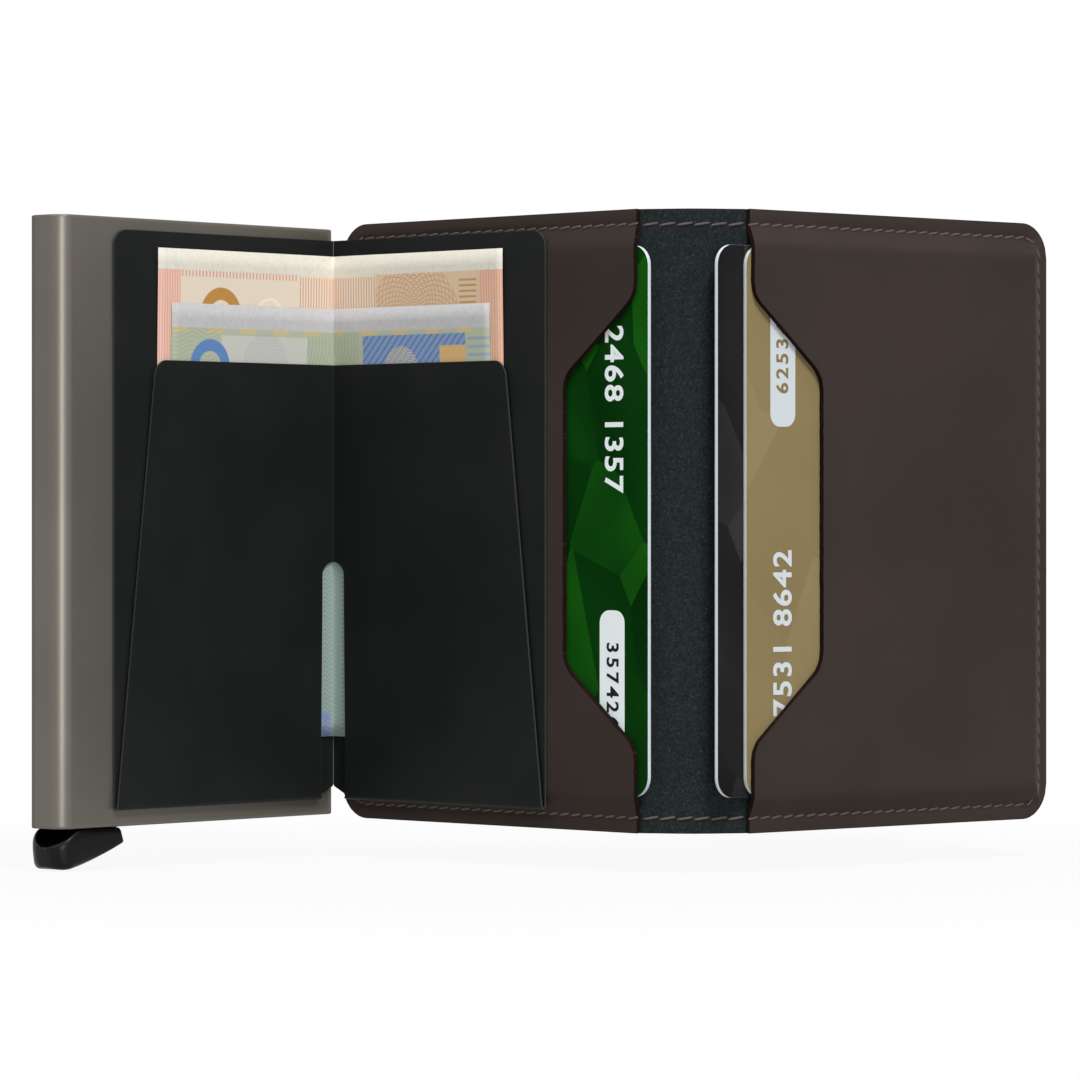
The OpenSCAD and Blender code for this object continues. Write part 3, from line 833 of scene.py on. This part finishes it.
def dressInside():
    dress("inner_frame", plasticFinish("framePlastic", srgb(30, 31, 32), 0.45, inHolder))
    dress("lever_pin", steelFinish())
    for side in ("front", "back"):
        dress(f"friction_pad_{side}", feltFinish())
    dress("adhesive_film_left", filmFinish("filmOnTube", holder))
    dress("adhesive_film_right", filmFinish("filmOnLeather", leftAtFold))
    tones = {1: ((40, 52, 74), (52, 68, 96), (70, 88, 118)),
             2: ((84, 40, 38), (112, 56, 52), (134, 76, 70)),
             3: ((120, 122, 126), (146, 148, 152), (170, 172, 176)),
             4: ((28, 62, 54), (42, 86, 74), (62, 108, 94))}
    for number, colours in tones.items():
        low, high = holder.extent(f"holder_card_{number}")
        dress(f"holder_card_{number}", cardFinish(
            f"heldCard{number}", [srgb(*c) for c in colours], inHolder, (low.y, high.y)))


dressInside()
print("card holder made")


# the fold where the money pocket turns from the tube to the leather
foldShape = {"radius": 0.35, "stretch": 1.02}
towardsTube = -holder.along
bisector = (towardsTube + leftAtFold.along).normalized()
halfOpen = towardsTube.angle(leftAtFold.along) / 2
foldTurn = math.pi / 2 - halfOpen
foldSide = (leftAtFold.back - leftAtFold.back.dot(bisector) * bisector).normalized()


def foldAt(u, depth, z, radius=foldShape["radius"]):
    # u is the distance from the fold, negative on the tube; depth is in front of both faces
    reach = (depth + radius) / math.tan(halfOpen)
    if u <= -reach:
        return holder.at(-reach + (u + reach) * foldShape["stretch"], -depth, z)
    if u >= reach:
        return leftAtFold.at(u, -depth, z)
    angle = foldTurn * u / reach
    centre = bisector * (depth + radius) / math.sin(halfOpen)
    outward = foldSide * math.sin(angle) - bisector * math.cos(angle)
    return holder.pivot + mm * (centre + radius * outward + Vector((0, 0, z)))


def blendAtFold(piece):
    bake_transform(piece)


# money pocket: one plastic sheet, its flap folded up in front
pocketShape = {"thickness": 0.3, "corner": 2.8, "notchHalf": 3.8, "notchHigh": 1.75, "slotHalf": 3.8,
               "slotRound": 2.3, "slotSpread": 0.35, "slotTop": 38.7, "flapHigh": 70.9, "flapTopHalf": 41.2,
               "sheetDepth": 0.25, "flapDepth": 1.0, "besideEdge": 0.12}
pocketRows = {"top": [0, 0.25, 0.8, 2.0, 4.0], "sheet": 12, "curl": 8, "flap": 7}
sheetLow, sheetHigh = leftAtFold.extent("money_pocket_right")


def alongFlap(far):
    # the length of flap from the fold to a column, the bend being shorter in front than at the back
    depth = pocketShape["flapDepth"]
    reach = (depth + foldShape["radius"]) / math.tan(halfOpen)
    arc = foldShape["radius"] * foldTurn
    return far * arc / reach if far < reach else far - reach + arc


def pocketHeights(c):
    # lower edge, slot and upper edges of sheet and flap in the column that starts at c
    shape = pocketShape
    far = abs(c)
    curl = (shape["flapDepth"] - shape["sheetDepth"]) / 2
    foot = shape["thickness"] / 2 + curl
    notch = foot + shape["notchHigh"] * max(0, 1 - far / shape["notchHalf"])
    drop = cornerDrop(sheetHigh.x - far, shape["corner"])
    shoulder = shape["slotTop"] - shape["slotRound"]
    share = alongFlap(far) / alongFlap(shape["slotHalf"])
    slot = shoulder + shape["slotRound"] * math.sqrt(max(1 - share ** 2, 0))
    return {"curl": curl, "foot": foot, "notch": notch, "shoulder": shoulder, "slot": slot,
            "sheetTop": sheetHigh.z - sheetLow.z - drop, "flapTop": shape["flapHigh"] - drop}


def flapPlace(c, z):
    # the flap's sides lean in towards its top, the slot's sides a little too
    straight = 9
    far = abs(c)
    if far <= straight:
        side = pocketShape["slotHalf"]
        spread = pocketShape["slotSpread"] * smooth(0, side, far) * smooth(straight, side, far)
        return c + math.copysign(spread * smooth(pocketShape["slotTop"], 0, z), c)
    narrowing = (sheetHigh.x - pocketShape["flapTopHalf"]) * z / pocketShape["flapHigh"]
    share = (far - straight) / (sheetHigh.x - straight)
    return math.copysign(far - narrowing * share, c)


def pocketColumn(c):
    # down the sheet, round the curl at its foot and up the flap
    shape, rows = pocketShape, pocketRows
    near = shape["besideEdge"]
    h = pocketHeights(c)
    heights = [h["sheetTop"] - d for d in rows["top"]]
    heights += evenRows(heights[-1], h["notch"] + near, rows["sheet"] + 1)[1:] + [h["notch"]]
    column = [(c, shape["sheetDepth"], z) for z in heights]
    for i in range(1, rows["curl"]):
        angle = math.pi * i / rows["curl"]
        column.append((c, shape["sheetDepth"] + h["curl"] * (1 - math.cos(angle)),
                       h["foot"] - h["curl"] * math.sin(angle)))
    middle = min(h["shoulder"], h["flapTop"] - 6)
    start = max(h["slot"], middle + near)
    heights = [h["notch"]] + evenRows(h["notch"] + near, middle, rows["flap"])
    heights += [start] + evenRows(start + near, h["flapTop"] - rows["top"][-1], rows["flap"])
    heights += [h["flapTop"] - d for d in rows["top"][-2::-1]]
    return column + [(flapPlace(c, z), shape["flapDepth"], z) for z in heights]


def makeMoneyPocket():
    shape, rows = pocketShape, pocketRows
    half = sheetHigh.x
    slotSteps = [shape["slotHalf"] * math.sin(math.pi / 2 * i / 10) for i in range(11)]
    cornerSteps = [half - shape["corner"] * (1 - math.sin(math.pi / 2 * i / 8)) for i in range(9)]
    side = merged([0.22, 0.45, 0.8, 1.25, shape["slotHalf"] + shape["besideEdge"]] + slotSteps
                  + evenly(5, 46.4, 2.6) + cornerSteps)
    steps = [-c for c in reversed(side) if c > 0] + side
    curlStart = len(rows["top"]) + rows["sheet"]
    curlEnd = curlStart + rows["curl"]
    slotEnd = curlEnd + rows["flap"] + 1

    def missing(i, j):
        far = max(abs(steps[i]), abs(steps[i + 1])) - 1e-4
        if curlStart <= j < curlEnd:
            return far < shape["notchHalf"]
        return curlEnd <= j < slotEnd and far < shape["slotHalf"]

    def put(u, depth, z):
        return foldAt(u, depth, sheetLow.z + z)

    pocket = gridPiece("moneyPocket", [pocketColumn(c) for c in steps], put, pocketPlastic, missing)
    thicken(pocket, shape["thickness"], rounding=0.05, segments=1)
    blendAtFold(pocket)
    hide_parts("money_pocket_left", "money_pocket_right")


makeMoneyPocket()


# banknotes
noteShape = {"thickness": 0.1, "wave": 0.05, "lean": 0.22}


def makeNote(name, node, depth, finishOf, seed):
    low, high = leftAtFold.extent(node)
    steps = [-c for c in reversed(evenly(0.2, high.x, 1.6))] + [0] + evenly(0.2, high.x, 1.6)
    columns = []
    for c in steps:
        column = []
        for z in evenly(low.z, high.z, 2.4):
            loose = smooth(sheetLow.z + pocketShape["flapHigh"] - 2, high.z, z)
            wave = noteShape["wave"] * loose * (1 + noise.noise(Vector((c * 0.09, z * 0.05, seed))) * 2)
            column.append((c, depth + wave + noteShape["lean"] * loose * smooth(0, 4, abs(c)), z))
        columns.append(column)
    note = gridPiece(name, columns, foldAt, finishOf(high.z))
    thicken(note, noteShape["thickness"])
    blendAtFold(note)
    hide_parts(node, node.replace("right", "left"))


makeNote("largeNote", "large_note_right", 0.55, largeNoteFinish, 3.1)
makeNote("smallNote", "small_note_right", 0.70, smallNoteFinish, 8.7)
print("money pocket and banknotes made")


# leather cover: outer leather and suede lining run round both bends
coverShape = {"bend": 3.2, "arch": 1.3, "blendReach": 2.5, "corner": 5.7, "rounding": 0.12,
              "undulation": 0.07, "lap": 0.06, "liningInset": 0.1}
bendTurns = [left.along.angle(spine.along), spine.along.angle(right.along)]
spineAtRight = Leaf("right_bend", spine.along)


def aroundBend(leafBefore, leafAfter, turn, t, depth, z):
    # t runs along the cover from the bend; the bend is rounded on the side that faces front
    radius = coverShape["bend"]
    reach = radius * math.tan(turn / 2)
    if t <= -reach:
        return leafBefore.at(t, depth, z)
    if t >= reach:
        return leafAfter.pivot + mm * (t * leafAfter.along + depth * leafAfter.back + Vector((0, 0, z)))
    forward = -(leafBefore.back + leafAfter.back).normalized()
    sideways = Vector((-forward.y, forward.x, 0))
    angle = turn / 2 * t / reach
    centre = -forward * radius / math.cos(turn / 2)
    outward = forward * math.cos(angle) + sideways * math.sin(angle)
    return leafAfter.pivot + mm * (centre + (radius - depth) * outward + Vector((0, 0, z)))


def coverAt(s, depth, z):
    # s is the distance along the unrolled cover, from the left bend at 0 to the right bend and on
    depth -= coverShape["arch"] * math.sin(math.pi * min(max(s / spineWidth, 0), 1)) ** 2
    if s < spineWidth / 2:
        return aroundBend(left, spine, bendTurns[0], s, depth, z)
    return aroundBend(spineAtRight, right, bendTurns[1], s - spineWidth, depth, z)


def coverSteps(start, stop, bends, ends, corner):
    # places along the cover: close together at the bends and in the rounded corners
    steps = evenly(start, stop, 2.6)
    near = (0, 0.35, 0.7, 1.1, 1.5, 2.0, 2.6, 3.4, 4.5)
    for bend in bends:
        steps += [bend + side * t for t in near for side in (-1, 1) if start < bend + side * t < stop]
    for end, inward in ends:
        steps += [end + inward * corner * (1 - math.sin(math.pi / 2 * i / 9)) for i in range(10)]
    kept = merged(steps, 0.11)
    kept[0], kept[-1] = start, stop
    return kept


def coverLayer(name, start, stop, ends, bends, depths, finish, bodies, nodes, inset=0.0):
    low, high = depths
    half = coverHalf - inset
    edgeRows = [0, 0.25, 0.8, 1.6, 2.4, 3.4, 5.0]
    columns = []
    for s in coverSteps(start, stop, bends, ends, coverShape["corner"]):
        toEnd = min([abs(s - end) for end, _ in ends])
        top = half - cornerDrop(toEnd, coverShape["corner"])
        rows = [-top + d for d in edgeRows] + evenRows(7 - top, top - 7, 28)
        rows += [top - d for d in reversed(edgeRows)]
        column = []
        for z in rows:
            swell = coverShape["undulation"] * noise.noise(Vector((s * 0.045, z * 0.05, 1.7)))
            depth = (low + high) / 2 + swell * smooth(1.0, 8.0, min(top - abs(z), toEnd))
            column.append((s, depth, coverMiddle + z))
        columns.append(column)
    layer = gridPiece(name, columns, coverAt, finish, joined=len(columns) - 1 if bodies[1] == "spine" else 0)
    thicken(layer, high - low, rounding=coverShape["rounding"] * (high - low))
    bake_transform(layer)
    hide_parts(*nodes)


def makeCover():
    leftEnd, rightEnd = leftLow.x, spineWidth + rightHigh.x
    middle = spineWidth / 2
    lap = coverShape["lap"]
    outer, lining = (liningBack, coverBack), (0.0, liningBack)
    coverLayer("outerLeatherLeft", leftEnd, middle + lap, [(leftEnd, 1)], [0], outer, leather,
               ("left_cover", "spine"), ["outer_leather_left", "outer_leather_spine", "cover_bend_left"])
    coverLayer("outerLeatherRight", middle - lap, rightEnd, [(rightEnd, -1)], [spineWidth], outer, leather,
               ("spine", "right_cover"), ["outer_leather_right", "cover_bend_right"])
    inset = coverShape["liningInset"]
    leftEnd, rightEnd = leftEnd + inset, rightEnd - inset
    coverLayer("liningLeft", leftEnd, middle + lap, [(leftEnd, 1)], [0], lining, suede,
               ("left_cover", "spine"), ["lining_left", "lining_spine"], inset)
    coverLayer("liningRight", middle - lap, rightEnd, [(rightEnd, -1)], [spineWidth], lining, suede,
               ("spine", "right_cover"), ["lining_right"], inset)


makeCover()


# pocket leather on each leaf, raised over the cards, with the finger cut-out in its edge
seamShape = {"in": 2.4, "groove": 0.12, "grooveHalf": 0.45, "pitch": 2.5, "length": 2.1, "width": 0.37,
             "height": 0.12, "sink": 0.01, "flatness": 0.62, "taper": 0.35, "slant": 9, "start": 1.25,
             "spinePitch": 2.7, "spineLength": 2.45}
mouthShape = {"in": {-1: 15.5, 1: 14.5}, "half": 35.0, "flat": 22.5, "radius": 5.0, "edge": 0.4,
              "fray": 0.08, "leather": 0.8, "over": {-1: 0.5, 1: 0.85}}
raiseShape = {"fromEnd": 4.5, "fromEdge": 5.3, "low": -3.3, "high": 0.7, "rolled": 0.1, "rolledWithin": 0.9}


def toRim(u, z, end):
    # distance from a point of a leaf to the leather's outline, u being the distance from the bend
    corner = coverShape["corner"]
    x, y = end - u, coverHalf - abs(z)
    if x < corner and y < corner:
        return corner - math.hypot(corner - x, corner - y)
    return min(x, y)


def grooveAt(u, z, end):
    # 1 in the groove that the seam is drawn into, 0 away from it
    return math.exp(-((toRim(u, z, end) - seamShape["in"]) / seamShape["grooveHalf"]) ** 2)


def raised(u, z, end):
    # 0 on the rim, 1 where the leather lies over the cards
    inside = min(end - raiseShape["fromEnd"] - u, coverHalf - raiseShape["fromEdge"] - abs(z))
    return smooth(raiseShape["low"], raiseShape["high"], inside)


def pocketFront(u, z, end, front):
    # how far the leather's front stands before the lining
    thickness = mouthShape["leather"]
    lift = (front - thickness) * raised(u, z, end)
    rolled = raiseShape["rolled"] * smooth(raiseShape["rolledWithin"], 0, toRim(u, z, end))
    return thickness + lift - seamShape["groove"] * grooveAt(u, z, end) - rolled


def openingAt(u, mouth):
    # half the height of the cut-out at this distance from the bend
    if u < mouth[0].x + 1e-6:
        return mouth[0].y
    opening = mouth[-1].y
    for a, b in zip(mouth, mouth[1:]):
        if a.x <= u <= b.x and b.x > a.x:
            opening = between(a.y, b.y, (u - a.x) / (b.x - a.x))
    return opening


def makePocketLeather(name, leaf, side, end, front, body, node):
    deep = mouthShape["in"][side]
    corners = [(mouthShape["edge"], coverHalf), (mouthShape["edge"], mouthShape["half"]),
               (deep, mouthShape["flat"]), (deep, 0)]
    mouth = filleted(corners, [mouthShape["radius"]] * 2, 10)[1:-1]
    fromEdge = [0, 0.25, 0.7, 1.2, 1.6, 1.9, 2.15, 2.4, 2.65, 2.9, 3.3, 3.8, 4.4, 5.0, 5.6, 6.3, 7.4]
    cornerSteps = [end - coverShape["corner"] * (1 - math.sin(math.pi / 2 * i / 10)) for i in range(11)]
    steps = merged([p.x for p in mouth] + evenly(deep + 1, end - 8, 2.4) + [end - d for d in fromEdge]
                   + cornerSteps + [deep + 0.25], 0.09)
    steps[-1] = end
    columns = []
    for u in steps:
        opening = openingAt(u, mouth)
        top = coverHalf - cornerDrop(end - u, coverShape["corner"])
        band = top - fromEdge[-1] - opening
        outer = [top - d for d in fromEdge]
        inner = [opening + band * share for share in (0.82, 0.62, 0.42, 0.24, 0.12, 0.045, 0)]
        middle = [opening * (1 - t / 22) for t in range(1, 22)]
        upper = outer + inner
        zs = [-z for z in upper] + [-z for z in middle] + [0] + middle[::-1] + upper[::-1]
        column = []
        for z in zs:
            fray = mouthShape["fray"] * noise.noise(Vector((u * 1.1, z * 1.1, 5.3)))
            fray *= smooth(1.5, 0, u - deep) * smooth(1.0, 4.0, end - u)
            moved = u + fray - mouthShape["over"][side] * raised(u, z, end) * smooth(7, 0, u)
            column.append((side * moved, -pocketFront(u, z, end, front), coverMiddle + z))
        columns.append(column)
    rowsUpper = len(upper)
    mouthColumn = min(range(len(steps)), key=lambda i: abs(steps[i] - deep))

    def missing(i, j):
        fromMouth = i if side > 0 else len(steps) - 2 - i
        return fromMouth < mouthColumn and rowsUpper - 1 <= j < len(columns[0]) - rowsUpper

    if side < 0:
        columns.reverse()
    piece = gridPiece(name, columns, leaf.at, leather, missing)
    # the groove mark is also painted shade along the seam in the leather's finish
    addMark(piece, "groove", lambda u, depth, z: grooveAt(abs(u), z - coverMiddle, end))
    thicken(piece, mouthShape["leather"], offset=-1.0, rounding=0.08)
    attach(piece, body)
    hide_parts(node)


leftFront = -left.extent("pocket_leather_left")[0].y
rightFront = -right.extent("pocket_leather_right")[0].y
makePocketLeather("pocketLeatherLeft", left, -1, -leftLow.x, leftFront, "left_cover", "pocket_leather_left")
makePocketLeather(
    "pocketLeatherRight", right, 1, rightHigh.x, rightFront, "right_cover", "pocket_leather_right")
print("leather cover made")


# stitches
def seamAt(d, end):
    # place and direction on the seam, d being the distance run from the bend along the lower edge
    corner = coverShape["corner"] - seamShape["in"]
    high = coverHalf - seamShape["in"]
    run = end - seamShape["in"] - corner
    arc = corner * math.pi / 2
    sideLength = 2 * (high - corner)
    if d < run:
        return d, -high, 0
    d -= run
    if d < arc:
        a = d / corner
        return run + corner * math.sin(a), -high + corner * (1 - math.cos(a)), a
    d -= arc
    if d < sideLength:
        return run + corner, -high + corner + d, math.pi / 2
    d -= sideLength
    if d < arc:
        a = d / corner
        return run + corner * math.cos(a), high - corner * (1 - math.sin(a)), math.pi / 2 + a
    return run - (d - arc), high, math.pi


def seamLength(end):
    corner = coverShape["corner"] - seamShape["in"]
    high = coverHalf - seamShape["in"]
    return 2 * (end - seamShape["in"] - corner) + math.pi * corner + 2 * (high - corner)


def stitchMesh(points, faces, spots, put, length, u, z, angle, surface, outward):
    # one slanted stitch: a bead of thread that dives into the leather at both ends
    slant = angle - math.radians(seamShape["slant"]) * outward
    along, across = (math.cos(slant), math.sin(slant)), (-math.sin(slant), math.cos(slant))
    rings, sides = 7, 6
    first = len(points)
    for i in range(rings):
        t = i / (rings - 1) * 2 - 1
        x = t * length / 2
        rise = seamShape["height"] * (1 - t ** 4) - seamShape["sink"]
        width = seamShape["width"] / 2 * (1 - seamShape["taper"] * t ** 4)
        for k in range(sides):
            a = 2 * math.pi * k / sides
            offset = width * math.cos(a)
            lift = rise + width * seamShape["flatness"] * math.sin(a)
            spot = (u + x * along[0] + offset * across[0], surface + outward * lift,
                    z + x * along[1] + offset * across[1])
            points.append(put(*spot))
            spots.append(spot)
    for i in range(rings - 1):
        for k in range(sides):
            n = (k + 1) % sides
            here, ahead = first + i * sides, first + (i + 1) * sides
            quad = [here + k, here + n, ahead + n, ahead + k]
            faces.append(quad if outward > 0 else quad[::-1])
    for cap in (list(range(sides)), [(rings - 1) * sides + k for k in reversed(range(sides))]):
        corners = [first + k for k in cap][::-1]
        faces.append(corners if outward > 0 else corners[::-1])


def makeStitches(name, put, places, length, body, node):
    points, faces, spots = [], [], []
    for place in places:
        stitchMesh(points, faces, spots, put, length, *place)
    piece = facingOut(makePiece(name, points, faces, spots, thread, sharp=80))
    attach(piece, body)
    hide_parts(node)


def leafStitches(side, end, front):
    places = []
    for d in evenly(seamShape["start"], seamLength(end) - seamShape["start"], seamShape["pitch"]):
        u, z, angle = seamAt(d, end)
        if side < 0:
            angle = math.pi - angle
        # outward -1 is the side towards negative depth, the front
        places.append((side * u, coverMiddle + z, angle, -pocketFront(u, z, end, front), -1))
        if u > 3:
            places.append((side * u, coverMiddle + z, angle, coverBack, 1))
    return places


def spineStitches():
    places = []
    for z in (-coverHalf + seamShape["in"], coverHalf - seamShape["in"]):
        for s in evenly(seamShape["start"], spineWidth - seamShape["start"], seamShape["spinePitch"]):
            places += [(s, coverMiddle + z, 0, 0.0, -1), (s, coverMiddle + z, 0, coverBack, 1)]
    return places


makeStitches("stitchesLeft", left.at, leafStitches(-1, -leftLow.x, leftFront), seamShape["length"],
             "left_cover", "stitches_left")
makeStitches("stitchesRight", right.at, leafStitches(1, rightHigh.x, rightFront), seamShape["length"],
             "right_cover", "stitches_right")
makeStitches("stitchesSpine", coverAt, spineStitches(), seamShape["spineLength"], "spine", "stitches_spine")
print("stitches made")


# cards in the leather pockets
cardShape = {"corner": 3.18, "rounding": 0.07}
greens = [srgb(0, 34, 3), srgb(8, 56, 11), srgb(24, 94, 14)]
blacks = [srgb(17, 17, 17), srgb(35, 35, 35), srgb(56, 56, 56)]
golds = [srgb(131, 115, 80), srgb(137, 121, 85), srgb(143, 128, 93)]


def makeCard(name, leaf, node, tones, body, facet):
    low, high = leaf.extent(node)
    r = cardShape["rounding"]
    slight = r * 0.3
    steps = [(r, low.y), (slight, low.y + slight), (0, low.y + r),
             (0, high.y - r), (slight, high.y - slight), (r, high.y)]
    rings = []
    for inset, depth in steps:
        ring = roundedRing((low.x, low.z), (high.x, high.z), cardShape["corner"], inset, depth, 10)
        rings.append([(u, level, z) for u, z, level in ring])
    finish = cardFinish(name + "Print", tones, Finish.leafCoords, (low.y, high.y), facet)
    card = ringPiece(name, rings, leaf.at, finish, sharp=50)
    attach(card, body)
    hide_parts(node)
    return card


makeCard("greenCard", left, "green_card", greens, "green_card_body", 0.07)
makeCard("blackCard", right, "black_card", blacks, "black_card_body", 0.06)
makeCard("goldCard", right, "gold_card", golds, "gold_card_body", 0.05)


# tabs and plain digits printed on the cards; z counts from the cover's middle
printShape = {"ink": 0.03, "sunk": 0.015, "digit": 4.0, "tabDigit": 2.6, "typeShare": 0.73,
              "spacing": 1.12, "tabSpacing": 1.3, "bold": 0.028, "tabHalf": 2.7, "tabCorner": 2.0}
greenPrint = {"digits": "2468 1357", "place": (-5.3, 17.5), "turn": -90, "tab": (-38, -13.9),
              "tabDigits": "357426", "tabPlace": (-5.5, -25.5)}
goldPrint = {"digits": "7531 8642", "place": (6.65, -17.5), "turn": 90, "tab": (14.7, 37),
             "tabDigits": "625347", "tabPlace": (6.5, 26.5)}


def makeTab(name, leaf, middle, tab, face, finish, body, slot):
    half = printShape["tabHalf"]
    low, high = (middle - half, coverMiddle + tab[0]), (middle + half, coverMiddle + tab[1])
    rings = []
    for depth in (face - printShape["ink"], face + printShape["sunk"]):
        ring = roundedRing(low, high, printShape["tabCorner"], 0, depth)
        rings.append([(u, level, z) for u, z, level in ring])
    tab = ringPiece(name, rings, leaf.at, finish)
    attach(tab, body)


def makeDigits(name, digits, leaf, middle, turn, height, spacing, face, finish, body, slot):
    curve = bpy.data.curves.new(name, "FONT")
    curve.body = digits
    curve.size = height / printShape["typeShare"]   # a digit fills this share of the type's size
    curve.offset = printShape["bold"] * height
    curve.space_character = spacing
    curve.align_x = curve.align_y = "CENTER"
    curve.extrude = (printShape["ink"] + printShape["sunk"]) / 2
    curve.resolution_u = 5
    drawn = bpy.data.objects.new(name + "Curve", curve)
    bpy.context.scene.collection.objects.link(drawn)
    bpy.context.view_layer.update()
    flat = bpy.data.meshes.new_from_object(drawn.evaluated_get(bpy.context.evaluated_depsgraph_get()))
    bpy.data.objects.remove(drawn)
    c, s = math.cos(math.radians(turn)), math.sin(math.radians(turn))
    depth = face + (printShape["sunk"] - printShape["ink"]) / 2
    x, z = middle[0], coverMiddle + middle[1]
    spots = [(x + v.co.x * c - v.co.y * s, depth - v.co.z, z + v.co.x * s + v.co.y * c)
             for v in flat.vertices]
    faces = [list(polygon.vertices) for polygon in flat.polygons]
    piece = makePiece(name, [leaf.at(*spot) for spot in spots], faces, spots, finish)
    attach(piece, body)


def printCard(card, leaf, lettering, ink, tabInk):
    body, slot = f"{card}_card_body", f"{card}_print"
    face = leaf.extent(f"{card}_card")[0].y
    turn = lettering["turn"]
    makeDigits(f"{card}CardDigits", lettering["digits"], leaf, lettering["place"], turn,
               printShape["digit"], printShape["spacing"], face, ink, body, slot)
    makeTab(f"{card}CardTab", leaf, lettering["tabPlace"][0], lettering["tab"], face, ink, body, slot)
    makeDigits(f"{card}TabDigits", lettering["tabDigits"], leaf, lettering["tabPlace"], turn,
               printShape["tabDigit"], printShape["tabSpacing"], face - printShape["ink"],
               tabInk, body, slot)


def makePrints():
    white = inkFinish("whiteInk", srgb(244, 252, 252))
    pale = inkFinish("paleInk", srgb(214, 221, 225))
    black = inkFinish("blackInk", srgb(22, 30, 30))
    gold = inkFinish("goldInk", srgb(140, 120, 76))
    printCard("green", left, greenPrint, white, black)
    printCard("gold", right, goldPrint, pale, gold)


makePrints()
print("cards made")


# floor, light and camera
stageShape = {"floor": 0.2, "nearGlow": 0.92, "near": 0.09, "far": 0.19, "ambient": 0.28}


def whiteWhenSeen(tree, lit, white, amount=1.0):
    # what the camera, gloss and glass see of the surroundings is white; the rest is lit as usual
    path = tree.nodes.new("ShaderNodeLightPath")
    seen = Wire(path.outputs["Is Camera Ray"])
    for kind in ("Is Glossy Ray", "Is Transmission Ray"):
        seen = seen.math("MAXIMUM", Wire(path.outputs[kind]))
    both = addNode(tree, "ShaderNodeMixShader", sockets={0: seen * amount, 1: lit, 2: white})
    output = [node for node in tree.nodes if "Surface" in node.inputs][0]
    tree.links.new(both.socket, output.inputs["Surface"])


def makeStage():
    size = stageShape["floor"]
    mesh = bpy.data.meshes.new("floor")
    corners = [(-size, -size, 0), (size, -size, 0), (size, size, 0), (-size, size, 0)]
    mesh.from_pydata(corners, [], [(0, 1, 2, 3)])
    floor = bpy.data.objects.new("floor", mesh)
    bpy.context.scene.collection.objects.link(floor)
    finish = Finish("floor", {"Base Color": (0.6, 0.6, 0.6, 1), "Roughness": 0.9, "Specular IOR Level": 0.1})
    away = finish.vector("LENGTH", finish.node("ShaderNodeTexCoord", output="Object"), (0, 0, 0), "Value")
    nearGlow = stageShape["nearGlow"]
    glow = nearGlow + (1 - nearGlow) * away.ramp(stageShape["near"], stageShape["far"])
    white = addNode(finish.tree, "ShaderNodeEmission", sockets={"Color": (1, 1, 1, 1), "Strength": 1.0})
    whiteWhenSeen(finish.tree, Wire(finish.shader.outputs[0]), white, glow)
    mesh.materials.append(finish.material)
    floor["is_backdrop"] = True

    world = bpy.data.worlds.new("studio")
    bpy.context.scene.world = world
    world.use_nodes = True
    ambient = world.node_tree.nodes["Background"]
    ambient.inputs["Color"].default_value = (0.96, 0.98, 1.0, 1)
    ambient.inputs["Strength"].default_value = stageShape["ambient"]
    white = addNode(world.node_tree, "ShaderNodeBackground",
                    sockets={"Color": (1, 1, 1, 1), "Strength": 1.0})
    whiteWhenSeen(world.node_tree, Wire(ambient.outputs[0]), white)


# each lamp's place and size in metres, and its power; the first one only shows in reflections
lampShapes = {"glossLamp": ((0.24, -1.27, 0.09), (0.36, 0.5), 6.3),
              "fillLamp": ((0.24, -1.27, 0.09), (0.36, 0.5), 3.2),
              "leftLamp": ((-0.75, -0.5, 0.95), (0.5, 0.5), 2.8),
              "keyLamp": ((0.35, -0.75, 1.1), (0.3, 0.3), 11.5),
              "topLamp": ((0.0, -0.35, 1.15), (0.9, 0.7), 3.2),
              "backLamp": ((0.3, 1.1, 0.6), (0.8, 0.8), 3.2)}


def makeLamps():
    middle = Vector((0, 0, coverMiddle * mm))
    for name, (place, size, power) in lampShapes.items():
        data = bpy.data.lights.new(name, "AREA")
        data.shape = "RECTANGLE"
        data.size, data.size_y = size
        data.energy = power
        lamp = bpy.data.objects.new(name, data)
        lamp.location = place
        lamp.visible_diffuse = name != "glossLamp"
        lamp.rotation_mode = "QUATERNION"
        lamp.rotation_quaternion = (middle - Vector(place)).to_track_quat("-Z", "Y")
        bpy.context.scene.collection.objects.link(lamp)


cameraShape = {"lens": 181.0, "back": 843.03, "left": 15.84, "shift": -0.01747}


def makeCamera():
    data = bpy.data.cameras.new("camera")
    data.lens = cameraShape["lens"]
    data.sensor_width = 36.0
    data.shift_y = cameraShape["shift"]
    data.clip_start, data.clip_end = 0.01, 20
    camera = bpy.data.objects.new("camera", data)
    bend = left.pivot
    camera.location = (
        bend.x - cameraShape["left"] * mm, bend.y - cameraShape["back"] * mm, coverMiddle * mm)
    camera.rotation_euler = (math.radians(90), 0, 0)
    bpy.context.scene.collection.objects.link(camera)
    bpy.context.scene.camera = camera


makeStage()
makeLamps()
makeCamera()
bpy.context.scene.view_settings.view_transform = "Standard"
print("stage, lamps and camera made")

boxes = {"cad": cadBox, "visual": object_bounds()}
{name: [list(corner) for corner in box] for name, box in boxes.items()}
